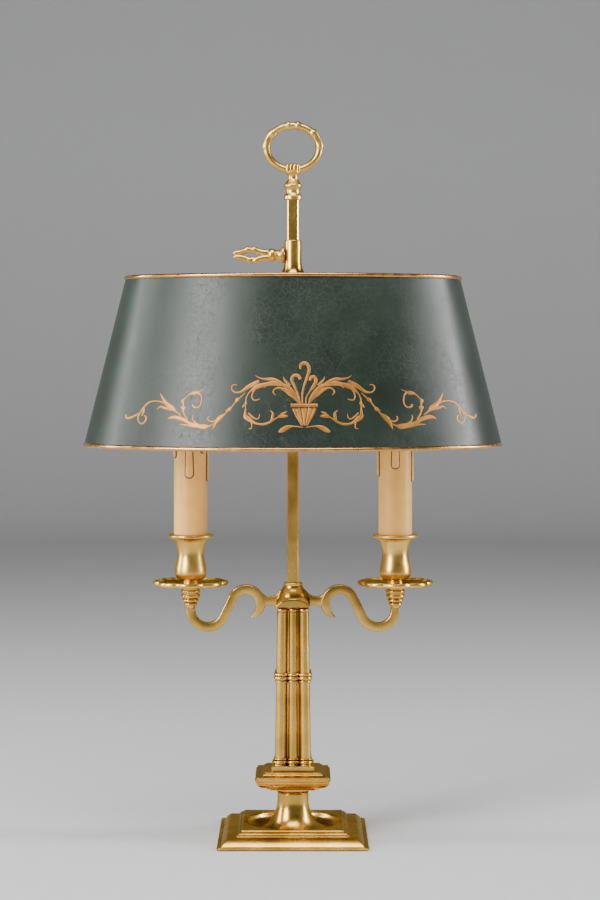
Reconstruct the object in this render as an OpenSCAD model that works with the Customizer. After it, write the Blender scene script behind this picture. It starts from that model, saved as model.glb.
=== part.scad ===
// Bouillotte lamp: a moulded brass foot and clustered column carry two scroll arms with
// candle lights, and a square bar on which an oval metal shade slides and is clamped by a key.
// Millimetres. Z is up, the table is at z = 0, the arms lie along X and the key points to -X.

/* [Base] */
// Side of the square foot
base_w = 120; // [112:1:130]
// Height of the base's top edge above the table
base_h = 12.5; // [12:0.1:15]
// Radius of the round dish in the base's top
dish_r = 39.3; // [36:0.1:40]
// Depth of the dish
dish_depth = 6.5; // [5.5:0.1:7]
// Thickness of the baize under the foot
felt_t = 0.8; // [0.5:0.1:1.2]
// Distance of the baize from the foot's edge
felt_inset = 1.5; // [1:0.1:3]
// Radius of the boss that centres the stem in the dish
boss_r = 20; // [18:0.5:22]
// Height of that boss above the dish's floor
boss_h = 4.5; // [3:0.1:6]
// Thickness of the base's cast wall
base_wall = 3; // [2.5:0.1:3.5]

/* [Cord inlet] */
// Bore of the bush that the lead passes through
inlet_bore = 4.4; // [3.5:0.1:5]
// Wall of the bush
inlet_wall = 0.8; // [0.6:0.1:1]
// Height of the inlet's axis above the table
inlet_z = 4.6; // [4.4:0.1:5]
// Depth of the bush in the base's edge
inlet_len = 10; // [9:0.5:10.5]

/* [Stem and platform] */
// Radius of the stem's foot
stem_foot_r = 30; // [27:0.5:33]
// Radius of the stem's waist
stem_waist_r = 12.6; // [11:0.1:14]
// Radius of the stem's top collar
stem_collar_r = 15.2; // [14:0.1:17]
// Height of the stem above the dish's floor
stem_h = 33.5; // [30:0.5:38]
// Width of the platform at its sharp edge
platform_w = 60.6; // [58:0.1:66]
// Height of the platform
platform_h = 15.3; // [14:0.1:17]

/* [Column] */
// Side of the plinth
plinth_w = 34; // [33.6:0.1:38]
// Height of the plinth
plinth_h = 3.8; // [3:0.1:5]
// Height of the column with its plinth
column_h = 131.4; // [115:0.1:150]
// Width over the shafts at the bottom
column_w_low = 29.2; // [28:0.1:31]
// Width over the shafts at the top
column_w_high = 25.5; // [24.5:0.1:27]
// Diameter of a corner shaft at the bottom
corner_d_low = 9; // [8.5:0.1:9.6]
// Diameter of a corner shaft at the top
corner_d_high = 7.8; // [7.2:0.1:8.2]
// Diameter of a middle shaft at the bottom
middle_d_low = 8; // [7.4:0.1:8.6]
// Diameter of a middle shaft at the top
middle_d_high = 6.9; // [6.4:0.1:7.4]
// Height of the middle band's underside above the plinth's underside
band_z = 70.6; // [60:0.1:85]

/* [Tie tube] */
// Outside diameter of the threaded tube
tie_d = 10; // [9:0.5:11]
// Bore of the threaded tube
tie_bore = 7.4; // [6.5:0.1:8]
// Width of the tie nut across its flats
tie_nut_af = 17; // [15:0.5:19]
// Height of the tie nut
tie_nut_h = 3; // [2.4:0.1:3.2]
// Radius of the washer
washer_r = 12; // [11:0.5:14]
// Thickness of the washer
washer_t = 1; // [0.8:0.1:1.2]

/* [Hub and arms] */
// Side of the square hub
hub_w = 27.4; // [26:0.1:30]
// Height of the hub
hub_h = 19.1; // [18:0.1:22]
// Height of the arms' necks above the hub's underside
neck_rise = 3.8; // [3.75:0.05:4.2]
// Side of the arms' square section
arm_t = 7.4; // [6.6:0.1:7.4]
// Side of the square necks between hub and scrolls
neck_t = 6.2; // [5.4:0.1:6.6]
// Chamfer on the arms' edges
arm_chamfer = 1; // [0.6:0.1:1.4]
// Distance of the candles' axes from the lamp's axis
arm_reach = 83; // [78:0.5:92]
// Radius of the scroll beside the hub
scroll_r = 11.7; // [10.5:0.1:13]
// Distance of the scroll's centre from the lamp's axis
scroll_x = 38; // [36:0.5:40]
// Depth of the scroll's centre below the necks
scroll_drop = 2; // [1:0.1:3]
// Angle at which the scroll's tail ends
tail_end = 251; // [240:1:260]
// Radius of the bend below the candle
bend_r = 14; // [12.5:0.1:15]
// Depth of the bend's centre below the necks
bend_drop = 7; // [5:0.1:9]
// Diameter of the wire channel in hub and arms
channel_d = 3.2; // [2.8:0.1:3.6]
// Diameter of the flex in the arms
wire_d = 2.2; // [1.8:0.1:2.4]

/* [Candles] */
// Height of the ringed ferrule
ferrule_h = 17; // [16:0.1:19]
// Radius of the ferrule at its top
ferrule_r = 7.75; // [7.4:0.05:9]
// Radius of the drip pan over its lobes
pan_r = 30.6; // [28:0.1:33]
// Thickness of the drip pan
pan_t = 1.2; // [1:0.1:1.6]
// Thickness of the drip pan's lobed rim
pan_rim_t = 2.8; // [2.2:0.1:3.2]
// Width of that rim
pan_rim_w = 5; // [4.4:0.1:5.6]
// Number of lobes of the drip pan
pan_lobes = 8; // [6:1:10]
// Height of the candle cup
cup_h = 41.9; // [40:0.1:46]
// Radius of the cup's belly
cup_belly_r = 12.8; // [12.2:0.1:14]
// Radius of the cup's waist
cup_waist_r = 10.8; // [10.4:0.1:11.4]
// Height of the waist above the cup's foot
cup_waist_z = 26; // [24:0.5:28]
// Radius of the cup's flange
cup_flange_r = 18.3; // [17:0.1:20]
// Diameter of the threaded tube under a lampholder
candle_tube_d = 10; // [9.5:0.1:10.5]
// Bore of that tube
candle_tube_bore = 7.6; // [7:0.1:8]
// Diameter of the imitation candle
sleeve_d = 27; // [25.5:0.1:28]
// Length of the imitation candle
sleeve_len = 85; // [75:1:95]
// Wall of the imitation candle
sleeve_wall = 1.2; // [1:0.1:1.4]
// Length of the longest wax run
wax_len = 42; // [36:1:50]
// Width of the widest wax drop
wax_w = 6.6; // [5.5:0.1:7.4]
// Diameter of the lampholder's body
holder_d = 23.4; // [22:0.1:23.4]
// Height of the lampholder
holder_h = 40; // [36:1:46]
// Diameter of the bulb's screw cap
bulb_cap_d = 13.9; // [13:0.1:14.2]
// Length of the bulb's screw cap
bulb_cap_h = 21; // [19:0.5:23]
// Largest diameter of the bulb
bulb_d = 35; // [33:0.5:37]
// Length of the bulb's glass
bulb_h = 77; // [72:0.5:80]

/* [Bar and shade] */
// Side of the square bar
bar_w = 9; // [8.4:0.1:9.4]
// Chamfer on the bar's edges
bar_chamfer = 0.9; // [0.6:0.1:1.2]
// Height of the bar's shoulder above the table
bar_top = 515.2; // [500:1:530]
// Height of the shade's upper edge above the table
shade_z = 451.8; // [446:1:456]
// Height of the shade
shade_h = 134.2; // [120:1:145]
// Length of the shade's lower edge
shade_len_low = 338; // [325:1:350]
// Width of the shade's lower edge
shade_wid_low = 240; // [230:1:250]
// How far the shade draws in on each side
shade_draw = 33.5; // [28:0.5:38]
// Radius of the lower edge's rounded ends
shade_end_r = 92; // [84:1:98]
// Thickness of the shade's sheet
shade_t = 0.8; // [0.6:0.1:1.2]
// Diameter of the rolled edges
rim_d = 3.4; // [2.8:0.1:4]
// Radius of the collar that slides on the bar
collar_r = 6.9; // [6.7:0.1:8]
// Height of the collar above the shade's carrier ring
collar_h = 32.5; // [28:0.5:36]
// Diameter of the carrier's arms
spoke_d = 3.6; // [3:0.1:4.5]
// Radius of the carrier's ring
spider_r = 13; // [12.6:0.1:15]

/* [Key] */
// Height of the key's axis above the collar's foot
key_rise = 20.6; // [18:0.1:23]
// Diameter of the key's threaded shank
key_shank_d = 5; // [4:0.1:5.5]
// Diameter of the key's bell
key_bell_d = 13.5; // [12:0.1:14.5]
// Length of the key outside the collar
key_len = 41.6; // [38:0.1:46]
// Height of the key's open loop
key_loop_h = 14.2; // [13.6:0.1:16]
// Diameter of the loop's branches
key_branch_d = 3.8; // [3.4:0.1:4.2]

/* [Finial] */
// Height of the finial's foot and clasp
clasp_h = 29.6; // [28:0.1:33]
// Width of the ribbed clasp
clasp_w = 12.9; // [12:0.1:14]
// Diameter of the stud on the bar's top
stud_d = 6; // [5:0.1:6.4]
// Width of the finial's ring over all
ring_w = 50.2; // [48:0.1:54]
// Height of the finial's ring over all
ring_h = 43.4; // [41:0.1:46]
// Thickness of the finial's ring
ring_d = 6; // [5.4:0.1:6.6]

/* [Hidden] */
$fn = 64;

// Radial room between pieces that nest in each other
fit = 0.1;
// Room between pieces that move past each other
run = 0.3;
// Overlap that lets cuts break cleanly through a face
eps = 1;

brass = "#b08d4c";
gilt = "#c9a35a";
steel = "#9a9a98";
cream = "#e3bd7c";
lacquer = "#26352f";

dish_z = base_h - dish_depth;
platform_z = dish_z + stem_h;
column_z = platform_z + platform_h;
hub_z = column_z + column_h;
hub_top = hub_z + hub_h;
arm_z = hub_z + neck_rise;
arm_end_rise = 1.4;
ferrule_z = arm_z - bend_drop + arm_end_rise;
pan_z = ferrule_z + ferrule_h;
cup_z = pan_z + pan_t;
cup_floor_z = cup_z + 7.5;
cup_top = cup_z + cup_h;
sleeve_seat = 1;
sleeve_z = cup_top - sleeve_seat;
sleeve_top = sleeve_z + sleeve_len;
holder_sink = 2.5;
holder_z = sleeve_top - holder_sink - holder_h;
holder_top = holder_z + holder_h;
holder_neck_h = 8;
tube_foot_z = ferrule_z + 8;
tube_top = holder_z + holder_neck_h - 1;
cap_z = holder_top - bulb_cap_h;
glass_z = holder_top + run;
spider_z = shade_z - rim_d / 2 - 4.4;
spider_h = 4.4;
collar_z = spider_z + spider_h;
key_z = collar_z + key_rise;
finial_z = bar_top + run;
ring_z = finial_z + clasp_h - 9.2 + ring_h / 2;

function arc(cx, cy, rx, ry, from, to, n) =
    [for (i = [0:n]) let (a = from + (to - from) * i / n) [cx + rx * cos(a), cy + ry * sin(a)]];
function reversed(list) = [for (i = [len(list) - 1:-1:0]) list[i]];

// ---------------------------------------------------------------- shared shapes

// Body of revolution from an outline of [radius, height] points
module lathe(outline) {
    rotate_extrude($fn = 96) polygon(outline);
}

// Square block whose four sides all have the moulding given as [half width, height] points
module moulded_square(edge) {
    outline = concat(edge, [for (p = reversed(edge)) [-p[0], p[1]]]);
    long = 2 * max([for (p = edge) p[0]]) + eps;
    intersection() {
        rotate([90, 0, 0]) linear_extrude(height = long, center = true) polygon(outline);
        rotate([90, 0, 90]) linear_extrude(height = long, center = true) polygon(outline);
    }
}

// Square outline with cut corners
module chamfered_square(w, c) {
    h = w / 2;
    polygon([
        [h, h - c], [h - c, h], [c - h, h], [-h, h - c],
        [-h, c - h], [c - h, -h], [h - c, -h], [h, c - h]
    ]);
}

// Stations round an oval of four arcs, each [centre x, centre y, angle, extra radius]: the ends'
// centres lie xc from the middle on the X axis, the sides' centres yc from it on the Y axis.
function oval_stations(xc, yc, end_steps, side_steps) =
    let (turn = atan2(yc, xc), grow = norm([xc, yc]), side_turn = 180 - 2 * turn)
    [for (half = [0, 1], i = [0:end_steps + side_steps - 1])
        let (flip = 1 - 2 * half, k = i - end_steps)
        k < 0 ? [flip * xc, 0, 180 * half - turn + 2 * turn * i / end_steps, 0]
              : [0, -flip * yc, 180 * half + turn + side_turn * k / side_steps, grow]];

// Closed ring with one profile at every station. The profile runs anticlockwise, and its radii
// are measured from the station's centre, less its extra radius.
module swept_oval(stations, profile) {
    n = len(stations);
    m = len(profile);
    points = [for (s = stations, p = profile)
        [s[0] + (p[0] + s[3]) * cos(s[2]), s[1] + (p[0] + s[3]) * sin(s[2]), p[1]]];
    faces = [for (i = [0:n - 1], k = [0:m - 1])
        let (a = i * m, b = (i + 1) % n * m, next = (k + 1) % m)
        [a + k, a + next, b + next, b + k]];
    polyhedron(points, faces);
}

// Centre distance of an oval's side arcs, from its half sizes and the radius of its ends
function side_centre(half_len, half_wid, end_r) =
    let (xc = half_len - end_r, d = half_wid - end_r) (xc * xc - d * d) / (2 * d);

// ---------------------------------------------------------------- base

module base_foot() {
    h = base_w / 2;
    tier = h - 15.5;
    edge = concat(
        [[h, felt_t], [h, 2.1], [h - 1.6, 2.3], [h - 1.6, 2.7], [h - 4.4, 3.1]],
        arc(h - 8.5, 3.4, 3.7, 4, 10, 80, 7),
        [[tier + 0.4, 7.7], [tier, 8], [tier, 8.6]],
        arc(tier - 0.1, 9.4, 0.5, 0.5, 240, 120, 3),
        arc(tier - 3.6, 9.6, 2.9, 1.7, 20, 80, 5),
        [[tier - 3.9, base_h - 0.6], [tier - 4.3, base_h]]
    );
    bowl_w = dish_r - 1.2 - stem_foot_r - 1;
    recess_r = dish_r - base_wall;
    nut_space = max(washer_r, tie_nut_af / sqrt(3)) + 1.5;
    color(brass) difference() {
        union() {
            difference() {
                moulded_square(edge);
                lathe(concat(
                    [[0, dish_z], [stem_foot_r + 1, dish_z]],
                    arc(stem_foot_r + 1, base_h - 0.9, bowl_w, dish_depth - 0.9, 285, 350, 5),
                    [[dish_r - 0.8, base_h - 0.9], [dish_r, base_h - 0.15]],
                    [[dish_r, base_h + eps], [0, base_h + eps]]
                ));
            }
            translate([0, 0, dish_z]) lathe([
                [0, -eps], [boss_r, -eps], [boss_r, boss_h - boss_bevel[1]],
                [boss_r - boss_bevel[0], boss_h], [0, boss_h]
            ]);
        }
        cylinder(r = recess_r, h = dish_z - base_wall);
        cylinder(r = nut_space, h = dish_z + boss_h - base_wall);
        cylinder(d = tie_d + 2 * fit, h = base_h + eps);
        translate([0, inlet_y - inlet_len, inlet_z]) rotate([-90, 0, 0]) {
            cylinder(d = inlet_d + 2 * fit, h = base_w);
        }
        translate([-inlet_d / 2 - fit, recess_r - base_wall, 0]) {
            cube([inlet_d + 2 * fit, inlet_y - inlet_grip - recess_r + base_wall, dish_z - 1]);
        }
        translate([0, inlet_y, inlet_z]) rotate([-90, 0, 0]) {
            cylinder(r = inlet_flange_r + fit, h = base_w);
        }
    }
}
// Bevel round the boss's top, inwards and downwards
boss_bevel = [3, 0.7];
inlet_d = inlet_bore + 2 * inlet_wall;
inlet_flange_r = inlet_d / 2 + 0.6;
inlet_flange_t = 1.2;
// Distance of the bush's flange from the foot's edge
inlet_set = 8;
inlet_y = base_w / 2 - inlet_set;
// Length of the round hole that grips the bush
inlet_grip = 8;

module base_felt() {
    w = base_w - 2 * felt_inset;
    color("#2f4a36") translate([-w / 2, -w / 2, 0]) cube([w, w, felt_t]);
}

module cord_bush() {
    color("#2a2623") translate([0, inlet_y, inlet_z]) rotate([-90, 0, 0]) {
        difference() {
            union() {
                translate([0, 0, -inlet_len]) cylinder(d = inlet_d, h = inlet_len);
                cylinder(r1 = inlet_flange_r, r2 = inlet_flange_r - 0.4, h = inlet_flange_t);
            }
            translate([0, 0, -inlet_len - eps]) {
                cylinder(d = inlet_bore, h = inlet_len + inlet_flange_t + 2 * eps);
            }
        }
    }
}

// ---------------------------------------------------------------- stem and platform

module pedestal_stem() {
    flare_h = stem_h - 9.5;
    neck_z = stem_h - 5.5;
    outer = concat(
        [[stem_foot_r, 0], [stem_foot_r, 0.3]],
        arc(stem_foot_r, flare_h + 0.3, stem_foot_r - stem_waist_r, flare_h, 270, 180, 16),
        arc(stem_collar_r, neck_z, stem_collar_r - stem_waist_r, 3.6, 180, 100, 6),
        [[stem_collar_r, stem_h - 1.8], [stem_collar_r, stem_h - 0.3], [stem_collar_r - 0.3, stem_h]]
    );
    socket_r = boss_r + fit;
    bore_r = tie_d / 2 + fit;
    inner = [
        [bore_r, stem_h], [bore_r, boss_h + 3], [socket_r - boss_bevel[0], boss_h + fit],
        [socket_r, boss_h + fit - boss_bevel[1]], [socket_r, 0]
    ];
    color(brass) translate([0, 0, dish_z]) lathe(concat(outer, inner));
}

module pedestal_platform() {
    h = platform_w / 2;
    top = h - 8.3;
    cove = platform_h - 5.9;
    edge = concat(
        [[h - 12.6, 0], [h - 12.6, 0.8], [h - 9.4, 1.8], [h - 8.3, 2.7]],
        arc(h - 8.3, cove, 7.3, cove - 3.1, 270, 355, 9),
        [[h, cove], [h, platform_h - 4.8], [h - 1.3, platform_h - 4.5], [h - 1.3, platform_h - 3]],
        arc(h - 2, platform_h - 1, 4.6, 2, 270, 190, 6),
        [[top, platform_h - 0.7], [top, platform_h]]
    );
    color(brass) translate([0, 0, platform_z]) difference() {
        moulded_square(edge);
        translate([0, 0, -eps]) cylinder(d = tie_d + 2 * fit, h = platform_h + 2 * eps);
    }
}

// ---------------------------------------------------------------- clustered column

shaft_z = plinth_h + 5.9;
shaft_top = column_h - 4.2;
pitch_low = (column_w_low - corner_d_low) / 2;
pitch_high = (column_w_high - corner_d_high) / 2;

// Distance of the outer shafts' axes from the column's middle planes at a height
function pitch_at(z) = pitch_low + (pitch_high - pitch_low) * (z - shaft_z) / (shaft_top - shaft_z);

// Disc with a half-round edge
module round_edged_disc(r, h) {
    rotate_extrude() polygon(concat([[0, 0]], arc(r - h / 2, h / 2, h / 2, h / 2, 270, 450, 4), [[0, h]]));
}

// One disc with a rounded edge round each shaft, and a plain disc behind them
module lobed_band(z, h, proud) {
    p = pitch_at(z + h / 2);
    part = (z + h / 2 - shaft_z) / (shaft_top - shaft_z);
    corner_r = (corner_d_low + (corner_d_high - corner_d_low) * part) / 2 + proud;
    middle_r = (middle_d_low + (middle_d_high - middle_d_low) * part) / 2 + proud;
    for (i = [-1:1], j = [-1:1]) {
        if (i != 0 || j != 0) {
            r = i * j == 0 ? middle_r : corner_r;
            translate([i * p, j * p, z]) {
                round_edged_disc(r, h);
            }
        }
    }
    translate([0, 0, z]) cylinder(r = p + 1, h = h);
}

// A shaft of the cluster, leaning in as the column tapers
module shaft(i, j) {
    lean = [(pitch_high - pitch_low) * i, (pitch_high - pitch_low) * j, shaft_top - shaft_z];
    low_d = i * j == 0 ? middle_d_low : corner_d_low;
    high_d = i * j == 0 ? middle_d_high : corner_d_high;
    translate([i * pitch_low, j * pitch_low, shaft_z]) {
        rotate([0, acos(lean[2] / norm(lean)), atan2(lean[1], lean[0])]) {
            cylinder(d1 = low_d, d2 = high_d, h = norm(lean));
        }
    }
}

module column() {
    color(brass) translate([0, 0, column_z]) difference() {
        union() {
            moulded_square([
                [plinth_w / 2, 0], [plinth_w / 2, plinth_h - 0.4], [plinth_w / 2 - 0.4, plinth_h]
            ]);
            translate([0, 0, plinth_h]) cylinder(r = pitch_low + 1, h = column_h - plinth_h);
            lobed_band(plinth_h - 0.2, 1.5, 0.9);
            lobed_band(plinth_h + 1.2, 3.2, 1.4);
            lobed_band(plinth_h + 4.8, 1.2, 1.1);
            lobed_band(band_z, 1.6, 1);
            lobed_band(band_z + 2.2, 3, 2);
            lobed_band(band_z + 5.2, 2.8, 1.9);
            lobed_band(column_h - 4.2, 3.3, 0.5);
            for (i = [-1:1], j = [-1:1]) if (i != 0 || j != 0) shaft(i, j);
        }
        translate([0, 0, -eps]) cylinder(d = tie_d + 2 * fit, h = column_h + 2 * eps);
    }
}

// ---------------------------------------------------------------- tie tube, washer, nut

tie_roof = dish_z + boss_h - base_wall;
tie_seat = arm_z - wire_d / 2 - run;

module tie_tube() {
    low = tie_roof - washer_t - tie_nut_h - 0.5;
    color(steel) translate([0, 0, low]) difference() {
        cylinder(d = tie_d, h = tie_seat - low);
        translate([0, 0, -eps]) cylinder(d = tie_bore, h = tie_seat + 2 * eps);
    }
}

module tie_washer() {
    color(steel) translate([0, 0, tie_roof - washer_t]) difference() {
        cylinder(r = washer_r, h = washer_t);
        translate([0, 0, -eps]) cylinder(d = tie_d + 2 * fit, h = washer_t + 2 * eps);
    }
}

module tie_nut() {
    color(steel) translate([0, 0, tie_roof - washer_t - tie_nut_h]) {
        hex_nut(tie_nut_af, tie_nut_h, tie_d);
    }
}

module hex_nut(af, h, d) {
    difference() {
        cylinder(d = af * 2 / sqrt(3), h = h, $fn = 6);
        translate([0, 0, -eps]) cylinder(d = d, h = h + 2 * eps);
    }
}

// ---------------------------------------------------------------- hub and arms

tenon_d = 5;
tenon_len = 4;
bar_spigot_d = 7.4;
bar_spigot_len = 9;
// Radius of the hub's crown, and of the seat it gives the bar
crown_r = 7.6;

module arm_hub() {
    corner = hub_w / sqrt(2);
    crown = hub_h - 2.6;
    bell = concat(
        [[0, 0], [corner, 0], [corner, 2.6]],
        arc(crown_r + 7.4, crown + 0.5, 8, 9.6, 255, 184, 8),
        [[crown_r - 0.6, crown], [crown_r, crown + 0.5], [crown_r, hub_h - 0.5]],
        [[crown_r - 0.4, hub_h], [0, hub_h]]
    );
    color(brass) translate([0, 0, hub_z]) difference() {
        intersection() {
            lathe(bell);
            translate([-hub_w / 2, -hub_w / 2, 0]) cube([hub_w, hub_w, hub_h]);
        }
        translate([0, 0, -eps]) cylinder(d = tie_d, h = tie_seat - hub_z + eps);
        cylinder(d = tie_bore, h = hub_h + eps);
        translate([0, 0, hub_h - bar_spigot_len]) cylinder(d = bar_spigot_d + 2 * fit, h = hub_h);
        for (side = [-90, 90]) translate([0, 0, neck_rise]) rotate([0, side, 0]) {
            translate([0, 0, hub_w / 2 - tenon_len - fit]) cylinder(d = tenon_d + 2 * fit, h = hub_w);
            cylinder(d = channel_d, h = hub_w);
        }
    }
}

// The arm lies in the XZ plane to the +X side, measured from the height of the necks
scroll_c = [scroll_x, -scroll_drop];
bend_c = [arm_reach - bend_r, -bend_drop];
gap = bend_c - scroll_c;
touch = atan2(gap[1], gap[0]) + acos((scroll_r + bend_r) / norm(gap));
enter = 180 - asin(scroll_drop / scroll_r);
neck_end = scroll_c[0] - scroll_r * cos(180 - enter);

function spin(a) = [cos(a), sin(a)];

// Stations along the scroll and the bend from one angle of the scroll to the arm's end, each
// [point, outward direction, how far the tail has run]
function arm_stations(from) = concat(
    [for (i = [0:36]) let (a = from + (touch - from) * i / 36)
        [scroll_c + scroll_r * spin(a), spin(a), max(0, (a - 180) / (tail_end - 180))]],
    [for (i = [0:22]) let (a = 180 + touch + (180 - touch) * i / 22)
        [bend_c + bend_r * spin(a), -spin(a), 0]],
    [[[arm_reach, arm_end_rise - bend_drop], [-1, 0], 0]]
);

// Sweeps a section of [outward, sideways] points along the stations, thinned along the tail
module swept_arm(stations, section) {
    points = [for (s = stations, q = section)
        let (p = s[0] + s[1] * q[0] * (1 - 0.92 * s[2] * s[2]))
        [p[0], q[1] * (1 - 0.4 * s[2] * s[2]), p[1]]];
    polyhedron(points, skin_faces(len(stations), len(section)));
}

function square_section(w, c) = let (h = w / 2) [
    [h, h - c], [h - c, h], [c - h, h], [-h, h - c], [-h, c - h], [c - h, -h], [h - c, -h], [h, c - h]
];
function round_section(d) = [for (k = [0:7]) d / 2 * spin(k * 45)];

// Faces of a skin over n rings of m points, with both ends closed
function skin_faces(n, m) = concat(
    [for (i = [0:n - 2], k = [0:m - 1])
        let (next = (k + 1) % m) [i * m + k, i * m + next, (i + 1) * m + next, (i + 1) * m + k]],
    [[for (k = [m - 1:-1:0]) k], [for (k = [0:m - 1]) (n - 1) * m + k]]
);

// Neck between hub and scroll, which spreads up and down where it meets the scroll
module flared_neck() {
    face = scroll_x - sqrt(pow(scroll_r + arm_t / 2, 2) - scroll_drop * scroll_drop);
    spread = [
        [hub_w / 2, 0.3], [hub_w / 2 + 1.2, 0], [face - 3.4, 0], [face - 1.6, 0.35],
        [face - 0.3, 1.1], [face + 1, 2.3], [face + 3.2, 3.2]
    ];
    section = square_section(neck_t, arm_chamfer);
    points = [for (f = spread, q = section) [f[0], q[1], q[0] + sign(q[0]) * f[1]]];
    polyhedron(points, skin_faces(len(spread), len(section)));
}

module arm() {
    translate([0, 0, arm_z]) difference() {
        union() {
            swept_arm(arm_stations(tail_end), square_section(arm_t, arm_chamfer));
            flared_neck();
            rotate([0, 90, 0]) translate([0, 0, hub_w / 2 - tenon_len]) {
                cylinder(d = tenon_d, h = tenon_len + eps);
            }
            translate([arm_reach, 0, arm_end_rise - bend_drop - eps]) {
                cylinder(d = tenon_d, h = tenon_len + eps);
            }
        }
        rotate([0, 90, 0]) cylinder(d = channel_d, h = neck_end + channel_d / 2);
        swept_arm(arm_stations(enter), round_section(channel_d));
        translate([arm_reach, 0, -bend_drop]) cylinder(d = channel_d, h = arm_t + tenon_len);
    }
}

// Distance of the flex's inner end from the lamp's axis
wire_start = 1.5;
// Length of the flex inside the candle's tube
wire_tail = 12;

module wire() {
    rise = tube_foot_z - arm_z + wire_tail;
    translate([0, 0, arm_z]) {
        rotate([0, 90, 0]) translate([0, 0, wire_start]) cylinder(d = wire_d, h = neck_end - wire_start);
        translate([neck_end, 0, 0]) sphere(d = wire_d * 1.02);
        swept_arm(arm_stations(enter), round_section(wire_d));
        translate([arm_reach, 0, -bend_drop]) cylinder(d = wire_d * 1.04, h = bend_drop + rise);
    }
}

module arm_left() { color(brass) mirror([1, 0, 0]) arm(); }
module arm_right() { color(brass) arm(); }
module wire_left() { color("#d8d2c4") mirror([1, 0, 0]) wire(); }
module wire_right() { color("#d8d2c4") wire(); }

// ---------------------------------------------------------------- candle lights

module arm_ferrule() {
    r = ferrule_r;
    lip = arm_t / 2;
    rings = concat(
        [[lip, 0], [lip + 0.5, 1]],
        arc(r - 3.3, 3.2, 0.9, 1, 270, 450, 5),
        arc(r - 2.2, 6.3, 1, 1.2, 270, 450, 5),
        arc(r - 1.2, 9.9, 1.1, 1.4, 270, 450, 5),
        arc(r - 1.1, 13.6, 1.1, 1.6, 270, 450, 5),
        [[r - 1.1, ferrule_h - 1], [r - 0.6, ferrule_h]]
    );
    tube_r = candle_tube_d / 2;
    core = [
        [tube_r, ferrule_h], [tube_r, tube_foot_z - ferrule_z],
        [tenon_d / 2 + fit, tube_foot_z - ferrule_z], [tenon_d / 2 + fit, 0]
    ];
    translate([0, 0, ferrule_z]) lathe(concat(rings, core));
}

// Radius of the drip pan's outline at a bearing
function lobed_r(a) =
    let (step = 360 / pan_lobes, off = (a + step / 2) % step - step / 2,
         lobe_r = pan_r * sin(step / 2) * 1.16, hub_r = pan_r - lobe_r)
    hub_r * cos(off) + sqrt(lobe_r * lobe_r - pow(hub_r * sin(off), 2));

module drip_pan() {
    flat_r = pan_r * 0.42;
    plate_r = pan_r - pan_rim_w + 0.6;
    plate_rise = 2.9;
    bead = pan_rim_t / 2;
    dish = concat(
        [[0, 0], [flat_r, 0]],
        arc(flat_r, 9, flat_r, 9, 270, 305, 6),
        [[plate_r, plate_rise], [plate_r, plate_rise + pan_t]],
        reversed(arc(flat_r, 9, flat_r, 9 - pan_t, 270, 305, 6)),
        [[flat_r, pan_t], [0, pan_t]]
    );
    steps = 8 * pan_lobes;
    stations = [for (i = [0:steps - 1]) [0, 0, 360 * i / steps, lobed_r(360 * i / steps)]];
    rim = concat(
        [[-pan_rim_w, 0]], arc(-bead, bead, bead, bead, 270, 450, 4),
        [[1 - pan_rim_w, pan_rim_t], [-pan_rim_w, pan_rim_t - 1]]
    );
    translate([0, 0, pan_z]) {
        difference() {
            lathe(dish);
            translate([0, 0, -eps]) cylinder(d = candle_tube_d + 2 * fit, h = pan_t + 2 * eps);
        }
        translate([0, 0, plate_rise - 0.3]) swept_oval(stations, rim);
    }
}

module candle_cup() {
    belly = cup_belly_r;
    waist = cup_waist_r;
    belly_z = 11;
    lip_z = cup_h - 3.2;
    flare_h = lip_z - 2.5 - cup_waist_z;
    outer = concat(
        [[7.9, 0], [7.9, 0.6], [6.5, 1.3], [6.3, 4.2], [6.9, 4.9]],
        arc(belly - 4.2, belly_z, 4.2, 5.8, 285, 345, 5),
        [for (i = [0:8]) [
            waist + (belly - waist) * (1 + cos(i * 22.5)) / 2, belly_z + (cup_waist_z - belly_z) * i / 8
        ]],
        [for (i = [1:5]) [waist + 2 * pow(i / 5, 2), cup_waist_z + flare_h * i / 5]],
        [[waist + 3.4, lip_z - 0.6], [cup_flange_r - 1.6, lip_z]],
        arc(cup_flange_r - 1.6, lip_z + 1.6, 1.6, 1.6, 285, 450, 8)
    );
    recess_r = sleeve_d / 2 + fit;
    tube_r = candle_tube_d / 2;
    floor_z = cup_floor_z - cup_z;
    inner = [
        [recess_r, cup_h], [recess_r, cup_h - sleeve_seat], [recess_r - 3.4, cup_h - sleeve_seat],
        [waist - 1.9, cup_waist_z + 5], [waist - 1.9, cup_waist_z - 6], [belly - 2.2, 13],
        [belly - 3, floor_z], [tube_r + fit, floor_z], [tube_r + fit, 0]
    ];
    translate([0, 0, cup_z]) lathe(concat(outer, inner));
}

module candle_tube() {
    translate([0, 0, tube_foot_z]) difference() {
        cylinder(d = candle_tube_d, h = tube_top - tube_foot_z);
        translate([0, 0, -eps]) cylinder(d = candle_tube_bore, h = tube_top - tube_foot_z + 2 * eps);
    }
}

module cup_nut() {
    translate([0, 0, cup_floor_z]) hex_nut(14, 3.5, candle_tube_d);
}

module lampholder() {
    r = holder_d / 2;
    tube_r = candle_tube_d / 2;
    socket_r = bulb_cap_d / 2 + run;
    floor_z = holder_h - bulb_cap_h - run;
    translate([0, 0, holder_z]) lathe([
        [tube_r + 2.4, 0], [tube_r + 2.4, holder_neck_h], [r - 1.5, holder_neck_h + 2],
        [r - 1.5, holder_neck_h + 6], [r, holder_neck_h + 6.6], [r, holder_h - 8],
        [r - 1.2, holder_h - 7.2], [r - 1.2, holder_h - 0.6], [r - 1.8, holder_h],
        [socket_r, holder_h], [socket_r, floor_z], [3, floor_z],
        [3, holder_neck_h - 1], [tube_r, holder_neck_h - 1], [tube_r, 0]
    ]);
}

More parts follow.
